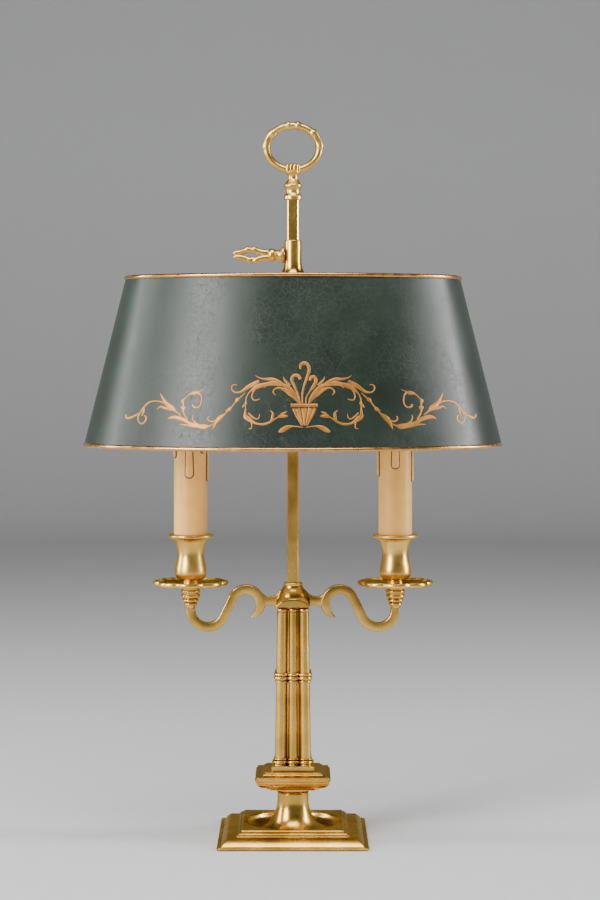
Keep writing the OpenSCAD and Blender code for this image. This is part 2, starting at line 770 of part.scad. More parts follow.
// Moulded wax run down the candle, its length and width as shares of the largest: a rounded bead
// ending in a fuller drop
module wax_run(angle, long, wide) {
    len = long * wax_len;
    w = wide * wax_w;
    rotate([0, 0, angle]) translate([sleeve_d / 2 - w * 0.16, 0, sleeve_len]) {
        translate([0, 0, -len + w / 2]) cylinder(d = w * 0.86, h = len - w / 2 - 0.6);
        translate([0, 0, -len + w / 2]) sphere(d = w);
    }
}

// Bearing, length and width of each wax run
wax_left = [
    [268, 0.9, 1], [352, 0.97, 0.76], [318, 0.43, 0.7], [205, 0.52, 0.76], [150, 0.81, 0.85],
    [95, 0.64, 0.91], [38, 0.48, 0.76]
];
wax_right = [
    [268, 0.73, 0.97], [352, 1, 0.79], [188, 0.89, 0.79], [230, 0.38, 0.7], [140, 0.62, 0.76],
    [92, 0.83, 0.91], [42, 0.52, 0.76]
];

module candle_sleeve(runs) {
    translate([0, 0, sleeve_z]) difference() {
        union() {
            cylinder(d = sleeve_d, h = sleeve_len);
            for (w = runs) wax_run(w[0], w[1], w[2]);
        }
        translate([0, 0, -eps]) cylinder(d = sleeve_d - 2 * sleeve_wall, h = sleeve_len + 2 * eps);
    }
}

module bulb_cap() {
    r = bulb_cap_d / 2;
    turns = 4;
    grooves = [for (i = [0:turns - 1], p = [[0, 0], [-0.7, 1.4]]) [r + p[0], 5.5 + i * 2.8 + p[1]]];
    translate([0, 0, cap_z]) lathe(concat(
        [[0, 0], [2.6, 0], [3.2, 1], [r - 1.6, 3]], grooves,
        [[r, 5.5 + turns * 2.8], [r, bulb_cap_h], [0, bulb_cap_h]]
    ));
}

module bulb_glass() {
    neck_r = 8.6;
    belly_z = 29;
    wall = 1;
    outer = concat(
        [for (i = [0:10]) [neck_r + (bulb_d / 2 - neck_r) * (1 - cos(i * 18)) / 2, belly_z * i / 10]],
        [for (i = [1:16]) [bulb_d / 2 * cos(i * 90 / 16), belly_z + (bulb_h - belly_z) * i / 16]]
    );
    inner = concat([for (p = outer) [max(p[0] - wall, 0), p[1] * (bulb_h - wall) / bulb_h]]);
    translate([0, 0, glass_z]) difference() {
        lathe(concat([[0, 0]], outer));
        translate([0, 0, -0.01]) lathe(concat([[0, 0]], inner));
    }
}

module at_left() { translate([-arm_reach, 0, 0]) children(); }
module at_right() { translate([arm_reach, 0, 0]) children(); }

module arm_ferrule_left() { color(brass) at_left() arm_ferrule(); }
module arm_ferrule_right() { color(brass) at_right() arm_ferrule(); }
module drip_pan_left() { color(gilt) at_left() drip_pan(); }
module drip_pan_right() { color(gilt) at_right() drip_pan(); }
module candle_cup_left() { color(gilt) at_left() candle_cup(); }
module candle_cup_right() { color(gilt) at_right() candle_cup(); }
module candle_tube_left() { color(steel) at_left() candle_tube(); }
module candle_tube_right() { color(steel) at_right() candle_tube(); }
module cup_nut_left() { color(steel) at_left() cup_nut(); }
module cup_nut_right() { color(steel) at_right() cup_nut(); }
module lampholder_left() { color("#e9e6dd") at_left() lampholder(); }
module lampholder_right() { color("#e9e6dd") at_right() lampholder(); }
module candle_sleeve_left() { color(cream) at_left() candle_sleeve(wax_left); }
module candle_sleeve_right() { color(cream) at_right() candle_sleeve(wax_right); }
module bulb_cap_left() { color(steel) at_left() bulb_cap(); }
module bulb_cap_right() { color(steel) at_right() bulb_cap(); }
module bulb_glass_left() { color("#f4f1e6") at_left() bulb_glass(); }
module bulb_glass_right() { color("#f4f1e6") at_right() bulb_glass(); }

// ---------------------------------------------------------------- bar

module centre_rod() {
    color(brass) {
        translate([0, 0, hub_top]) linear_extrude(height = bar_top - hub_top) {
            chamfered_square(bar_w, bar_chamfer);
        }
        translate([0, 0, hub_top - bar_spigot_len]) cylinder(d = bar_spigot_d, h = bar_spigot_len);
        translate([0, 0, bar_top]) cylinder(d = stud_d, h = stud_len);
    }
}
stud_len = 12;

// ---------------------------------------------------------------- shade

low_half = [shade_len_low / 2, shade_wid_low / 2];
shade_yc = side_centre(low_half[0], low_half[1], shade_end_r);
shade_xc = low_half[0] - shade_end_r;
shade_low_z = shade_z - shade_h;
shade_ring = oval_stations(shade_xc, shade_yc, 16, 20);
rim_flat = 65;
rim_seat = rim_d / 2 * sin(rim_flat);

// Radius of the middle of the shade's wall at a height, from the centre of an end
function wall_r(z) = shade_end_r - shade_t / 2 - shade_draw * (z - shade_low_z) / shade_h;

module shade_shell() {
    low = shade_low_z + rim_seat;
    high = shade_z - rim_seat;
    t = shade_t / 2;
    color(lacquer) swept_oval(shade_ring, [
        [wall_r(low) - t, low], [wall_r(low) + t, low],
        [wall_r(high) + t, high], [wall_r(high) - t, high]
    ]);
}

// Rolled edge, round but for the flat that sits on the sheet's edge
module rolled_edge(z, up) {
    profile = [for (p = arc(0, 0, rim_d / 2, rim_d / 2, -rim_flat, 180 + rim_flat, 8))
        [wall_r(z - up * rim_seat) + p[0], z + up * p[1]]];
    swept_oval(shade_ring, up > 0 ? profile : reversed(profile));
}

module shade_rim_top() {
    color(gilt) rolled_edge(shade_z, 1);
}

module shade_rim_bottom() {
    color(gilt) rolled_edge(shade_low_z, -1);
}

module shade_spider() {
    spoke_z = spider_z + spider_h / 2;
    color(gilt) difference() {
        union() {
            translate([0, 0, spider_z]) cylinder(r = spider_r, h = spider_h);
            for (a = [0:90:270]) rotate([0, 0, a]) translate([collar_foot_r + 1, 0, spoke_z]) {
                rotate([0, 90, 0]) cylinder(d = spoke_d, h = spoke_reach(a, spoke_z) - collar_foot_r - 1);
            }
        }
        translate([0, 0, spider_z - eps]) cylinder(r = collar_foot_r + fit, h = spider_h + 2 * eps);
    }
}
collar_foot_r = 9;

// Distance from the lamp's axis to the wall's inner face, where an arm meets it
function spoke_reach(a, z) =
    wall_r(z + spoke_d / 2) - shade_t / 2
    + (a % 180 == 0 ? shade_xc : norm([shade_xc, shade_yc]) - shade_yc);

module shade_collar() {
    flare = concat(
        [[collar_foot_r, -spider_h], [collar_foot_r, 0], [spider_r - 1, 0], [spider_r - 1, 1.4]],
        arc(spider_r + 1.2, 12, spider_r + 1.2 - collar_r, 10, 262, 180, 8),
        [[collar_r, collar_h - 0.5], [collar_r - 0.5, collar_h], [0, collar_h], [0, -spider_h]]
    );
    color(brass) translate([0, 0, collar_z]) difference() {
        lathe(flare);
        translate([0, 0, -spider_h - eps]) linear_extrude(height = spider_h + collar_h + 2 * eps) {
            chamfered_square(bar_w + run, bar_chamfer);
        }
        translate([0, 0, key_rise]) rotate([0, -90, 0]) cylinder(d = key_shank_d + 0.16, h = collar_r + 5);
    }
}

// ---------------------------------------------------------------- key

// Closed ring of a branch in the XZ plane, with the tube's radius given at even angles from its
// lowest point. The top leans to +X by the skew and the bottom to -X.
module branch_ring(half, skew, radii, sides) {
    n = len(radii);
    points = [for (i = [0:n - 1], k = [0:sides - 1])
        let (a = 360 * i / n - 90, out = [cos(a) * half[1], sin(a) * half[0]], u = out / norm(out),
             w = radii[i] * cos(360 * k / sides))
        [half[0] * cos(a) + skew * sin(a) + u[0] * w, radii[i] * sin(360 * k / sides),
         half[1] * sin(a) + u[1] * w]];
    faces = [for (i = [0:n - 1], k = [0:sides - 1])
        let (a = i * sides, b = (i + 1) % n * sides, next = (k + 1) % sides)
        [a + k, b + k, b + next, a + next]];
    polyhedron(points, faces);
}

// How much a branch swells at an angle near one of its knots
function knot(a, at, wide) = exp(-pow((a - at) / wide, 2));

// Short branch with a rounded end that runs to -X
module twig(d, from, to) {
    r = d / 2;
    translate([from, 0, 0]) rotate([0, -90, 0]) lathe(concat(
        [[0, 0], [r, 0]], arc(0, from - to - r, r, r, 0, 84, 5), [[0, from - to]]
    ));
}

module key_screw() {
    bell = key_bell_d / 2;
    neck = 3;
    bead_end = 12.8;
    foot = collar_r + run;
    branch_r = key_branch_d / 2;
    loop_near = bead_end + 3.8;
    loop_far = key_len - 5.2;
    loop_half = [(loop_far - loop_near) / 2, key_loop_h / 2 - branch_r * 1.15];
    color(gilt) translate([0, 0, key_z]) {
        rotate([0, -90, 0]) {
            translate([0, 0, bar_w / 2 + run]) {
                cylinder(d = key_shank_d, h = foot - bar_w / 2 - run + 1);
            }
            translate([0, 0, foot]) lathe(concat(
                [[0, 0], [bell - 1, 0], [bell, 0.8], [bell, 1.6]],
                arc(bell + 0.6, 6.4, bell + 0.6 - neck, 4.8, 260, 185, 5),
                [[neck + 0.4, 7.2]],
                arc(3.2, 9.8, 2, 2.5, 270, 450, 6),
                [[3.4, bead_end], [0, bead_end]]
            ));
        }
        translate([-foot, 0, 0]) {
            translate([-(loop_near + loop_far) / 2, 0, 0]) branch_ring(loop_half, -1.1, [
                for (i = [0:35])
                    branch_r * (0.97 + 0.18 * (knot(i, 0, 1.4) + knot(i, 18, 1.4) + knot(i, 36, 1.4)))
            ], 10);
            for (up = [-1, 1]) {
                translate([0, 0, up * branch_r * 1.1]) twig(key_branch_d, 1 - bead_end, -loop_near - 1.2);
                translate([0, 0, up * branch_r * 0.8]) {
                    twig(key_branch_d * 0.86, 0.8 - loop_far, 0.3 * (1 - up) - key_len);
                }
            }
        }
    }
}

// ---------------------------------------------------------------- finial

module finial_clasp() {
    foot = concat(
        [[0, 0], [7.1, 0], [7.5, 0.3], [7.5, 1]],
        arc(10, 7, 4.4, 5, 235, 160, 6),
        arc(5.6, 11.3, 1.9, 1.9, 300, 420, 5),
        arc(8.1, 18.2, 4.2, 4.6, 225, 150, 5),
        [[4.4, clasp_h - 8.4], [4.4, clasp_h - 4], [0, clasp_h - 4]]
    );
    rib = clasp_w / 4;
    color(gilt) translate([0, 0, finial_z]) difference() {
        union() {
            lathe(foot);
            intersection() {
                for (i = [-1.5:1:1.5]) translate([i * rib, 0, clasp_h - clasp_rise / 2]) clasp_rib(rib);
                translate([0, 0, clasp_h - clasp_rise / 2]) cube([clasp_w, 12, clasp_rise], center = true);
            }
        }
        translate([0, 0, -eps]) cylinder(d = stud_d + 0.16, h = stud_len + eps);
    }
}
clasp_rise = 8.5;

// One rounded rib of the clasp, wrapped over the ring from front to back
module clasp_rib(w) {
    d = w * 1.12;
    r = clasp_rise / 2 - d / 2;
    for (y = [-r, r]) translate([0, y, -r]) {
        cylinder(d = d, h = 2 * r);
        sphere(d = d);
        translate([0, 0, 2 * r]) sphere(d = d);
    }
    for (z = [-r, r]) translate([0, 0, z]) rotate([90, 0, 0]) cylinder(d = d, h = 2 * r, center = true);
    cube([w, 2 * r, clasp_rise - 1], center = true);
}

ring_half = [(ring_w - ring_d * 1.16) / 2, (ring_h - ring_d * 1.1) / 2];

// Thickness of the branch-like ring at an angle: it swells at its knots
function ring_radius(a) = ring_d / 2 * (0.94 + 0.3 * (knot(a, 42, 7) + knot(a, 138, 7))
    + 0.3 * (knot(a, 82, 4.5) + knot(a, 98, 4.5)) + 0.22 * (knot(a, 2, 8) + knot(a, 178, 8)));

module finial_ring() {
    n = 72;
    color(gilt) difference() {
        translate([0, 0, ring_z]) {
            branch_ring(ring_half, 0, [for (i = [0:n - 1]) ring_radius(360 * i / n - 90)], 10);
        }
        translate([-clasp_w / 2, -ring_d, finial_z + clasp_h - clasp_rise - ring_d]) {
            cube([clasp_w, 2 * ring_d, clasp_rise + ring_d]);
        }
    }
}

base_foot();
base_felt();
cord_bush();
pedestal_stem();
pedestal_platform();
column();
tie_tube();
tie_washer();
tie_nut();
arm_hub();
arm_left();
arm_right();
wire_left();
wire_right();
arm_ferrule_left();
arm_ferrule_right();
drip_pan_left();
drip_pan_right();
candle_cup_left();
candle_cup_right();
candle_tube_left();
candle_tube_right();
cup_nut_left();
cup_nut_right();
lampholder_left();
lampholder_right();
candle_sleeve_left();
candle_sleeve_right();
bulb_cap_left();
bulb_cap_right();
bulb_glass_left();
bulb_glass_right();
centre_rod();
shade_collar();
shade_spider();
shade_shell();
shade_rim_top();
shade_rim_bottom();
key_screw();
finial_clasp();
finial_ring();
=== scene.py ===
"""Dresses the bouillotte lamp: moulded brass stand, scroll arms with candle lights, and an oval
crackle-lacquered shade with gilt scrollwork that slides on a square bar.

Lengths in the functions below are millimetres; they become metres when a mesh is made.
"""
import math

import bmesh
import bpy
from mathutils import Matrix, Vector


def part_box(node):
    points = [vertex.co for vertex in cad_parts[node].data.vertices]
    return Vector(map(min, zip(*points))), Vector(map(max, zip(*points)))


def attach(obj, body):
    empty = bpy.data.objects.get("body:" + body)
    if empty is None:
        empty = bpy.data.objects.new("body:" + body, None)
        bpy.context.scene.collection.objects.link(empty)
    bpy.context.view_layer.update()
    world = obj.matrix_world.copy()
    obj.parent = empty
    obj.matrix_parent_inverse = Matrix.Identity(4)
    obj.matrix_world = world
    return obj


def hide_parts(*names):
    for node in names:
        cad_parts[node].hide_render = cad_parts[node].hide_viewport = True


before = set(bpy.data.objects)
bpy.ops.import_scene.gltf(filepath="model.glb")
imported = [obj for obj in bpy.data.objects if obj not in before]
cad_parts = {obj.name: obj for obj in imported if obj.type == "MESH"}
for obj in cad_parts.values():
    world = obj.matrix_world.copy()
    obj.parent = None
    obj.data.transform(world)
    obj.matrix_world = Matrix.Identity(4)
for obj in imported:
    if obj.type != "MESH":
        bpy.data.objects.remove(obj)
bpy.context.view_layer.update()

bl_info = {
    "name": "Bouillotte Lamp",
    "version": (1, 0, 0),
    "blender": (4, 5, 0),
    "location": "View3D > Sidebar > Lamp",
    "description": "Builds the surfaces, ornament and studio of a two-light bouillotte lamp",
    "category": "Object",
}

MM = 0.001
# A whole turn in radians
TURN = 2 * math.pi
SIDES = {"left": -1, "right": 1}
# Radius of the holes for the tie tube and the candles' tubes
TUBE_BORE = 5.1
# Distance of each candle's axis from the lamp's, and radius of its sleeve
LIGHT_REACH, SLEEVE_R = 83, 13.5
# Radius of the beads on the shade's edges, and half the thickness of its sheet
RIM_BEAD, HALF_SHEET = 1.7, 0.4


def node_box(node):
    """Lowest and highest corner of a frame node, in millimetres."""
    low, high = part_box(node)
    return [v / MM for v in low], [v / MM for v in high]


def span(node):
    """Middle, half width, lowest height and tallness of a frame node."""
    low, high = node_box(node)
    return (low[0] + high[0]) / 2, (high[0] - low[0]) / 2, low[2], high[2] - low[2]


def bottom(node):
    return node_box(node)[0][2]


def raised(points, base):
    return [(r, base + z) for r, z in points]


# ---------- sizes and colours


def length_property(name, description, value, least, most):
    return bpy.props.FloatProperty(name=name, description=description, default=value * MM,
                                   min=least * MM, max=most * MM, unit="LENGTH")


class LampSizes(bpy.types.PropertyGroup):
    """Sizes of the details that the frame leaves open."""
    edge_softness: length_property(
        "Edge softness", "Radius worn on the edges of turned and moulded brass", 0.35, 0.05, 0.6)
    turning_steps: bpy.props.IntProperty(
        name="Turning steps", description="Faces round a turned piece", default=96, min=32, max=160)
    relief: length_property(
        "Gilding relief", "How far the gilt strokes stand on the lacquer", 0.2, 0.05, 0.4)
    ornament_shift: length_property(
        "Ornament shift", "Distance of the urn from the middle of the shade", 9, -20, 20)
    ornament_rise: length_property(
        "Ornament rise", "Height of the urn's foot above the shade's lower edge", 18, 12, 30)


def colour_property(name, description, *value):
    return bpy.props.FloatVectorProperty(
        name=name, description=description, default=value, size=3, min=0, max=1, subtype="COLOR")


class LampFinish(bpy.types.PropertyGroup):
    """Colours of the finishes."""
    brass_light: colour_property("Light brass", "Rubbed high spots of the brass", 0.77, 0.47, 0.11)
    brass_dark: colour_property("Aged brass", "Toned body of the brass", 0.53, 0.315, 0.065)
    gilt_light: colour_property("Light gilt", "Bright side of the gilt castings", 0.88, 0.57, 0.15)
    gilt_dark: colour_property("Toned gilt", "Toned side of the gilt castings", 0.68, 0.41, 0.09)
    lacquer: colour_property("Lacquer", "Dark green of the shade", 0.011, 0.021, 0.013)
    lacquer_line: colour_property("Crackle", "Dust in the lacquer's cracks", 0.030, 0.042, 0.030)
    lining: colour_property("Lining", "Paint inside the shade", 0.80, 0.76, 0.66)
    gilding: colour_property("Gilding", "Gold of the painted ornament", 0.50, 0.21, 0.038)
    rim: colour_property("Rim gilding", "Copper gold of the rolled rims", 0.66, 0.33, 0.10)
    candle: colour_property("Candle", "Cream of the imitation candles", 0.97, 0.50, 0.115)
    drip_line: colour_property("Drip outline", "Brown round the wax runs", 0.10, 0.035, 0.012)


def softness(context):
    return context.scene.lamp_sizes.edge_softness / MM


# ---------- outlines


def arc(cx, cz, rx, rz, start, end, steps):
    """Points of an elliptical arc between two angles in degrees."""
    angles = [math.radians(start + (end - start) * i / steps) for i in range(steps + 1)]
    return [(cx + rx * math.cos(a), cz + rz * math.sin(a)) for a in angles]


def softened(points, radius, closed=False, least_turn=22):
    """The outline with its corners worn to small curves where they turn enough."""
    result = []
    count = len(points)
    widest_turn = 2.6
    for i, point in enumerate(points):
        p = Vector(point)
        u, v = Vector(points[i - 1]) - p, Vector(points[(i + 1) % count]) - p
        turn = 0
        if (closed or 0 < i < count - 1) and min(u.length, v.length) >= 1e-6:
            turn = math.pi - u.angle(v)
        if turn < math.radians(least_turn):
            result.append(tuple(p))
            continue
        cut = min(radius * math.tan(min(turn, widest_turn) / 2), 0.45 * u.length,
                  0.45 * v.length)
        start, end = p + u.normalized() * cut, p + v.normalized() * cut
        for t in (0, 0.25, 0.5, 0.75, 1):
            result.append(tuple(start * (1 - t) ** 2 + p * (2 * t * (1 - t)) + end * t ** 2))
    return result


def spline(points, steps):
    """Smooth curve through points of any size, with the given steps between each two."""
    result = []
    count = len(points)
    for i in range(count - 1):
        a, b = points[max(i - 1, 0)], points[i]
        c, d = points[i + 1], points[min(i + 2, count - 1)]
        for k in range(steps):
            t = k / steps
            result.append(tuple(
                0.5 * (2 * q + (r - p) * t + (2 * p - 5 * q + 4 * r - s) * t * t
                       + (3 * q - p - 3 * r + s) * t ** 3)
                for p, q, r, s in zip(a, b, c, d)))
    result.append(tuple(points[-1]))
    return result


def heading(track, i):
    """Direction of a track of points at one of them."""
    before, after = track[max(i - 1, 0)], track[min(i + 1, len(track) - 1)]
    along = Vector((after[0] - before[0], after[1] - before[1]))
    return along if along.length >= 1e-6 else Vector((1, 0))


# ---------- meshes


def circle_ring(radius, z, count, centre=0):
    """Circle of points round a centre on the x axis."""
    angles = [TURN * i / count for i in range(count)]
    return [(centre + radius * math.cos(a), radius * math.sin(a), z) for a in angles]


def turned(x, y, z, quarter):
    """The point after some quarter turns round the vertical."""
    for _ in range(quarter):
        x, y = -y, x
    return x, y, z


def corner_bearings(side_steps):
    """Even steps along each side of a square ring, and a bundle of five at each corner."""
    for quarter in range(4):
        yield from ((quarter, "side", 2 * k / side_steps - 1) for k in range(1, side_steps))
        yield from ((quarter, "corner", k / 4) for k in range(5))


def square_ring(half, round_off, z, side_steps=14):
    """Rounded square that starts on the +X side."""
    points = []
    flat = half - round_off
    for quarter, kind, t in corner_bearings(side_steps):
        a = math.radians(90 * t)
        x, y = flat + round_off * math.cos(a), flat + round_off * math.sin(a)
        points.append(turned(*((half, flat * t) if kind == "side" else (x, y)), z, quarter))
    return points


def matching_circle(radius, z, side_steps=14):
    """Circle whose points pair with those of square_ring."""
    points = []
    for quarter, kind, t in corner_bearings(side_steps):
        a = math.radians(44 * t if kind == "side" else 44.2 + 1.6 * t)
        points.append(turned(radius * math.cos(a), radius * math.sin(a), z, quarter))
    return points


def loft(rings, closed=False):
    """Points and faces of a skin over equally long rings, closed or with capped ends."""
    count = len(rings[0])
    points = [p for ring in rings for p in ring]
    faces = []
    for i in range(len(rings) if closed else len(rings) - 1):
        a, b = i * count, (i + 1) % len(rings) * count
        faces += [(a + k, a + (k + 1) % count, b + (k + 1) % count, b + k) for k in range(count)]
    if not closed:
        faces.append(tuple(reversed(range(count))))
        faces.append(tuple(range(len(points) - count, len(points))))
    return points, faces


def turning(outline, centre=0, closed=False, count=None):
    """Turned body from (radius, height) points; one that starts and ends at radius 0 is solid."""
    count = count or bpy.context.scene.lamp_sizes.turning_steps
    return loft([circle_ring(r, z, count, centre) for r, z in outline], closed)


def block(edge, inside=(), round_off=0.7, side_steps=14):
    """Square moulded block from (half width, height) points, with turned surfaces inside it."""
    rings = [square_ring(half, round_off, z, side_steps) for half, z in edge]
    rings += [matching_circle(r, z, side_steps) for r, z in inside]
    return loft(rings, closed=True)


def joined(*parts):
    """One list of points and faces from several."""
    points, faces = [], []
    for more_points, more_faces in parts:
        shift = len(points)
        points += more_points
        faces += [tuple(i + shift for i in face) for face in more_faces]
    return points, faces


# ---------- objects


def placed(name, data):
    """New object in the scene."""
    thing = bpy.data.objects.new(name, data)
    bpy.context.scene.collection.objects.link(thing)
    return thing


def smooth(mesh):
    mesh.polygons.foreach_set("use_smooth", [True] * len(mesh.polygons))


def shade(mesh, sharp):
    """Smooth shading, with edges that turn more than the given degrees kept sharp."""
    smooth(mesh)
    mesh.set_sharp_from_angle(angle=math.radians(sharp))
    mesh.update()


def make_mesh(name, shape, sharp=32):
    """Object from points in millimetres, with doubles merged and its faces outwards."""
    points, faces = shape
    mesh = bpy.data.meshes.new(name)
    mesh.from_pydata([(x * MM, y * MM, z * MM) for x, y, z in points], [], faces)
    work = bmesh.new()
    work.from_mesh(mesh)
    bmesh.ops.remove_doubles(work, verts=work.verts, dist=0.002 * MM)
    bmesh.ops.dissolve_degenerate(work, edges=work.edges, dist=0.001 * MM)
    bmesh.ops.recalc_face_normals(work, faces=work.faces)
    work.to_mesh(mesh)
    work.free()
    shade(mesh, sharp)
    return placed(name, mesh)


def path_object(name, loops):
    """Object of bare edges through closed loops of points in millimetres."""
    points, edges = [], []
    for loop in loops:
        first, count = len(points), len(loop)
        points += [(x * MM, y * MM, z * MM) for x, y, z in loop]
        edges += [(first + k, first + (k + 1) % count) for k in range(count)]
    mesh = bpy.data.meshes.new(name)
    mesh.from_pydata(points, edges, [])
    return placed(name, mesh)


def settled(thing, sharp=32):
    """Turns the modifiers' result into the object's plain mesh."""
    graph = bpy.context.evaluated_depsgraph_get()
    mesh = bpy.data.meshes.new_from_object(thing.evaluated_get(graph))
    thing.modifiers.clear()
    old = thing.data
    thing.data = mesh
    bpy.data.meshes.remove(old)
    mesh.name = thing.name
    if sharp is not None:
        shade(mesh, sharp)
    return thing


def bored(thing, cutter):
    """Cuts the second object out of the first and uses it up."""
    step = thing.modifiers.new("Cut", "BOOLEAN")
    step.operation = "DIFFERENCE"
    step.solver = "EXACT"
    step.object = cutter
    settled(thing)
    bpy.data.objects.remove(cutter)


def cast(thing, voxel, rounds):
    """Melts overlapping bodies into one soft casting."""
    step = thing.modifiers.new("Melt", "REMESH")
    step.mode = "VOXEL"
    step.voxel_size = voxel * MM
    step.use_smooth_shade = True
    soft = thing.modifiers.new("Soften", "SMOOTH")
    soft.factor = 0.5
    soft.iterations = rounds
    settled(thing, None)
    smooth(thing.data)
    return thing


def merged(name, parts):
    """One object from several, their meshes joined."""
    work = bmesh.new()
    for part in parts:
        work.from_mesh(part.data)
    mesh = bpy.data.meshes.new(name)
    work.to_mesh(mesh)
    work.free()
    for part in parts:
        bpy.data.objects.remove(part)
    shade(mesh, 40)
    return placed(name, mesh)


# Materials by their short names, filled by the first operator
FINISHES = {}


def finished(thing, finish, body, *nodes):
    """Gives a piece its material and body, and lets it stand for its frame nodes."""
    thing.data.materials.clear()
    thing.data.materials.append(FINISHES[finish])
    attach(thing, body)
    if nodes:
        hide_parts(*nodes)


# ---------- node trees


class Graph:
    """A node tree in the making. Inputs are values or the sockets that feed them."""

    def __init__(self, tree):
        self.tree = tree

    def add(self, kind, inputs=None, output=0, **settings):
        """Adds a node and gives one of its outputs."""
        node = self.tree.nodes.new(kind)
        for name, value in settings.items():
            setattr(node, name, value)
        for key, value in (inputs or {}).items():
            if isinstance(value, bpy.types.NodeSocket):
                self.tree.links.new(value, node.inputs[key])
            else:
                node.inputs[key].default_value = value
        return node.outputs[output]

    def calc(self, operation, *values):
        return self.add("ShaderNodeMath", dict(enumerate(values)), operation=operation)

    def plus(self, first, second):
        return self.calc("ADD", first, second)

    def minus(self, first, second):
        return self.calc("SUBTRACT", first, second)

    def times(self, first, second):
        return self.calc("MULTIPLY", first, second)


def opaque(colour):
    """A colour with its fourth value, or the socket that gives it."""
    return colour if isinstance(colour, bpy.types.NodeSocket) else (*colour, 1)


def tinted(colour, *shares):
    """The colour times one share, or times one for each of its three parts."""
    shares = shares if len(shares) == 3 else shares * 3
    return tuple(c * share for c, share in zip(colour, shares))


class Surface(Graph):
    """A material in the making, with its shader and its object coordinates."""

    def __init__(self, name, **shader_values):
        self.material = bpy.data.materials.new(name)
        self.material.use_nodes = True
        super().__init__(self.material.node_tree)
        self.shader = self.tree.nodes["Principled BSDF"]
        for key, value in shader_values.items():
            self.shader.inputs[key.replace("_", " ")].default_value = value
        self.place = self.add("ShaderNodeTexCoord", output="Object")

    def noise(self, scale, detail=3.0, roughness=0.5, place=None):
        place = self.place if place is None else place
        return self.add("ShaderNodeTexNoise", {"Vector": place, "Scale": scale, "Detail": detail,
                                               "Roughness": roughness}, "Fac")

    def ramp(self, value, start, end, low=0.0, high=1.0):
        """Smoothly maps a value between two limits to low and high."""
        return self.add("ShaderNodeMapRange", {
            "Value": value, "From Min": start, "From Max": end, "To Min": low, "To Max": high,
        }, interpolation_type="SMOOTHSTEP")

    def mix(self, factor, first, second):
        return self.add("ShaderNodeMix", {0: factor, 6: opaque(first), 7: opaque(second)}, 2,
                        data_type="RGBA")

    def done(self, colour, rough, height, depth, strength=1.0):
        """Feeds the shader, with relief of a depth in millimetres, and gives the material."""
        relief = self.add("ShaderNodeBump", {"Height": height, "Distance": depth * MM,
                                             "Strength": strength}, "Normal")
        for name, value in (("Base Color", colour), ("Roughness", rough), ("Normal", relief)):
            if value is not None:
                self.tree.links.new(value, self.shader.inputs[name])
        return self.material


# ---------- materials


def cast_metal(name, light, dark, rough_low, rough_high):
    """Aged polished brass: toned patches, rubbed high spots, painted shade in the hollows and fine
    marks.
    """
    it = Surface(name, Metallic=1.0, Specular_Tint=(0.62, 0.50, 0.28, 1))
    patches = it.noise(38)
    marks = it.add("ShaderNodeMapping", {"Vector": it.place, "Scale": (1, 1, 0.12)})
    rubs = it.noise(900, 2, place=marks)
    spots = it.ramp(it.noise(260, 2), 0.70, 0.78)
    body = it.mix(it.ramp(patches, 0.34, 0.62), dark, light)
    body = it.mix(it.times(spots, 0.35), body, tinted(dark, 0.5))
    # Painted shade: the colour goes towards a dark brown where the piece's own surface hides the
    # light within a few millimetres, and the brass is made a little rougher there
    shade_ao = it.add("ShaderNodeAmbientOcclusion", {"Distance": 3.5 * MM}, "AO", only_local=True,
                    samples=8)
    unshaded = it.ramp(shade_ao, 0.1, 0.6)
    colour = it.mix(unshaded, tinted(dark, 0.25, 0.27, 0.5), body)
    wear = it.plus(it.times(patches, 0.7), it.times(rubs, 0.3))
    rough = it.plus(it.ramp(wear, 0.3, 0.7, rough_low, rough_high), it.ramp(unshaded, 0, 1, 0.15, 0))
    return it.done(colour, rough, it.plus(patches, it.times(rubs, 0.06)), 0.06, 0.3)


def lacquer_material(finish):
    """Satin dark green lacquer with a wide and a fine net of age cracks."""
    it = Surface("crackle_lacquer", Specular_IOR_Level=0.5)
    sway = it.add("ShaderNodeTexNoise", {"Vector": it.place, "Scale": 70.0, "Detail": 3.0}, "Color")
    bent = it.add("ShaderNodeVectorMath", {0: sway, 1: (0.009, 0.009, 0.009)}, operation="MULTIPLY")
    moved = it.add("ShaderNodeVectorMath", {0: it.place, 1: bent}, operation="ADD")
    cracked = it.noise(22, 2)
    nets = []
    for scale, core, fringe, strength, bare, full in (
            (190.0, 0.008, 0.03, 0.6, 0.3, 0.55), (390.0, 0.015, 0.045, 0.4, 0.42, 0.6)):
        edge = it.add("ShaderNodeTexVoronoi", {"Vector": moved, "Scale": scale}, "Distance",
                      feature="DISTANCE_TO_EDGE")
        crack = it.ramp(edge, core, fringe, strength, 0)
        nets.append(it.times(crack, it.ramp(cracked, bare, full)))
    line = it.calc("MAXIMUM", *nets)
    cloud = it.noise(16, 4, 0.6)
    body = it.mix(it.ramp(cloud, 0.35, 0.7), tinted(finish.lacquer, 0.8),
                  tinted(finish.lacquer, 1.25))
    rough = it.plus(it.ramp(cloud, 0.3, 0.7, 0.32, 0.40), it.times(line, 0.3))
    height = it.minus(it.times(it.noise(700), 0.12), line)
    return it.done(it.mix(line, body, finish.lacquer_line), rough, height, 0.05, 0.5)


def lining_material(finish):
    """Matt cream paint inside the shade, a little yellowed."""
    it = Surface("cream_lining", Roughness=0.7)
    yellowed = tinted(finish.lining, 0.9, 0.85, 0.72)
    body = it.mix(it.ramp(it.noise(25, 4, 0.6), 0.4, 0.75), finish.lining, yellowed)
    return it.done(body, None, it.noise(500), 0.06, 0.4)


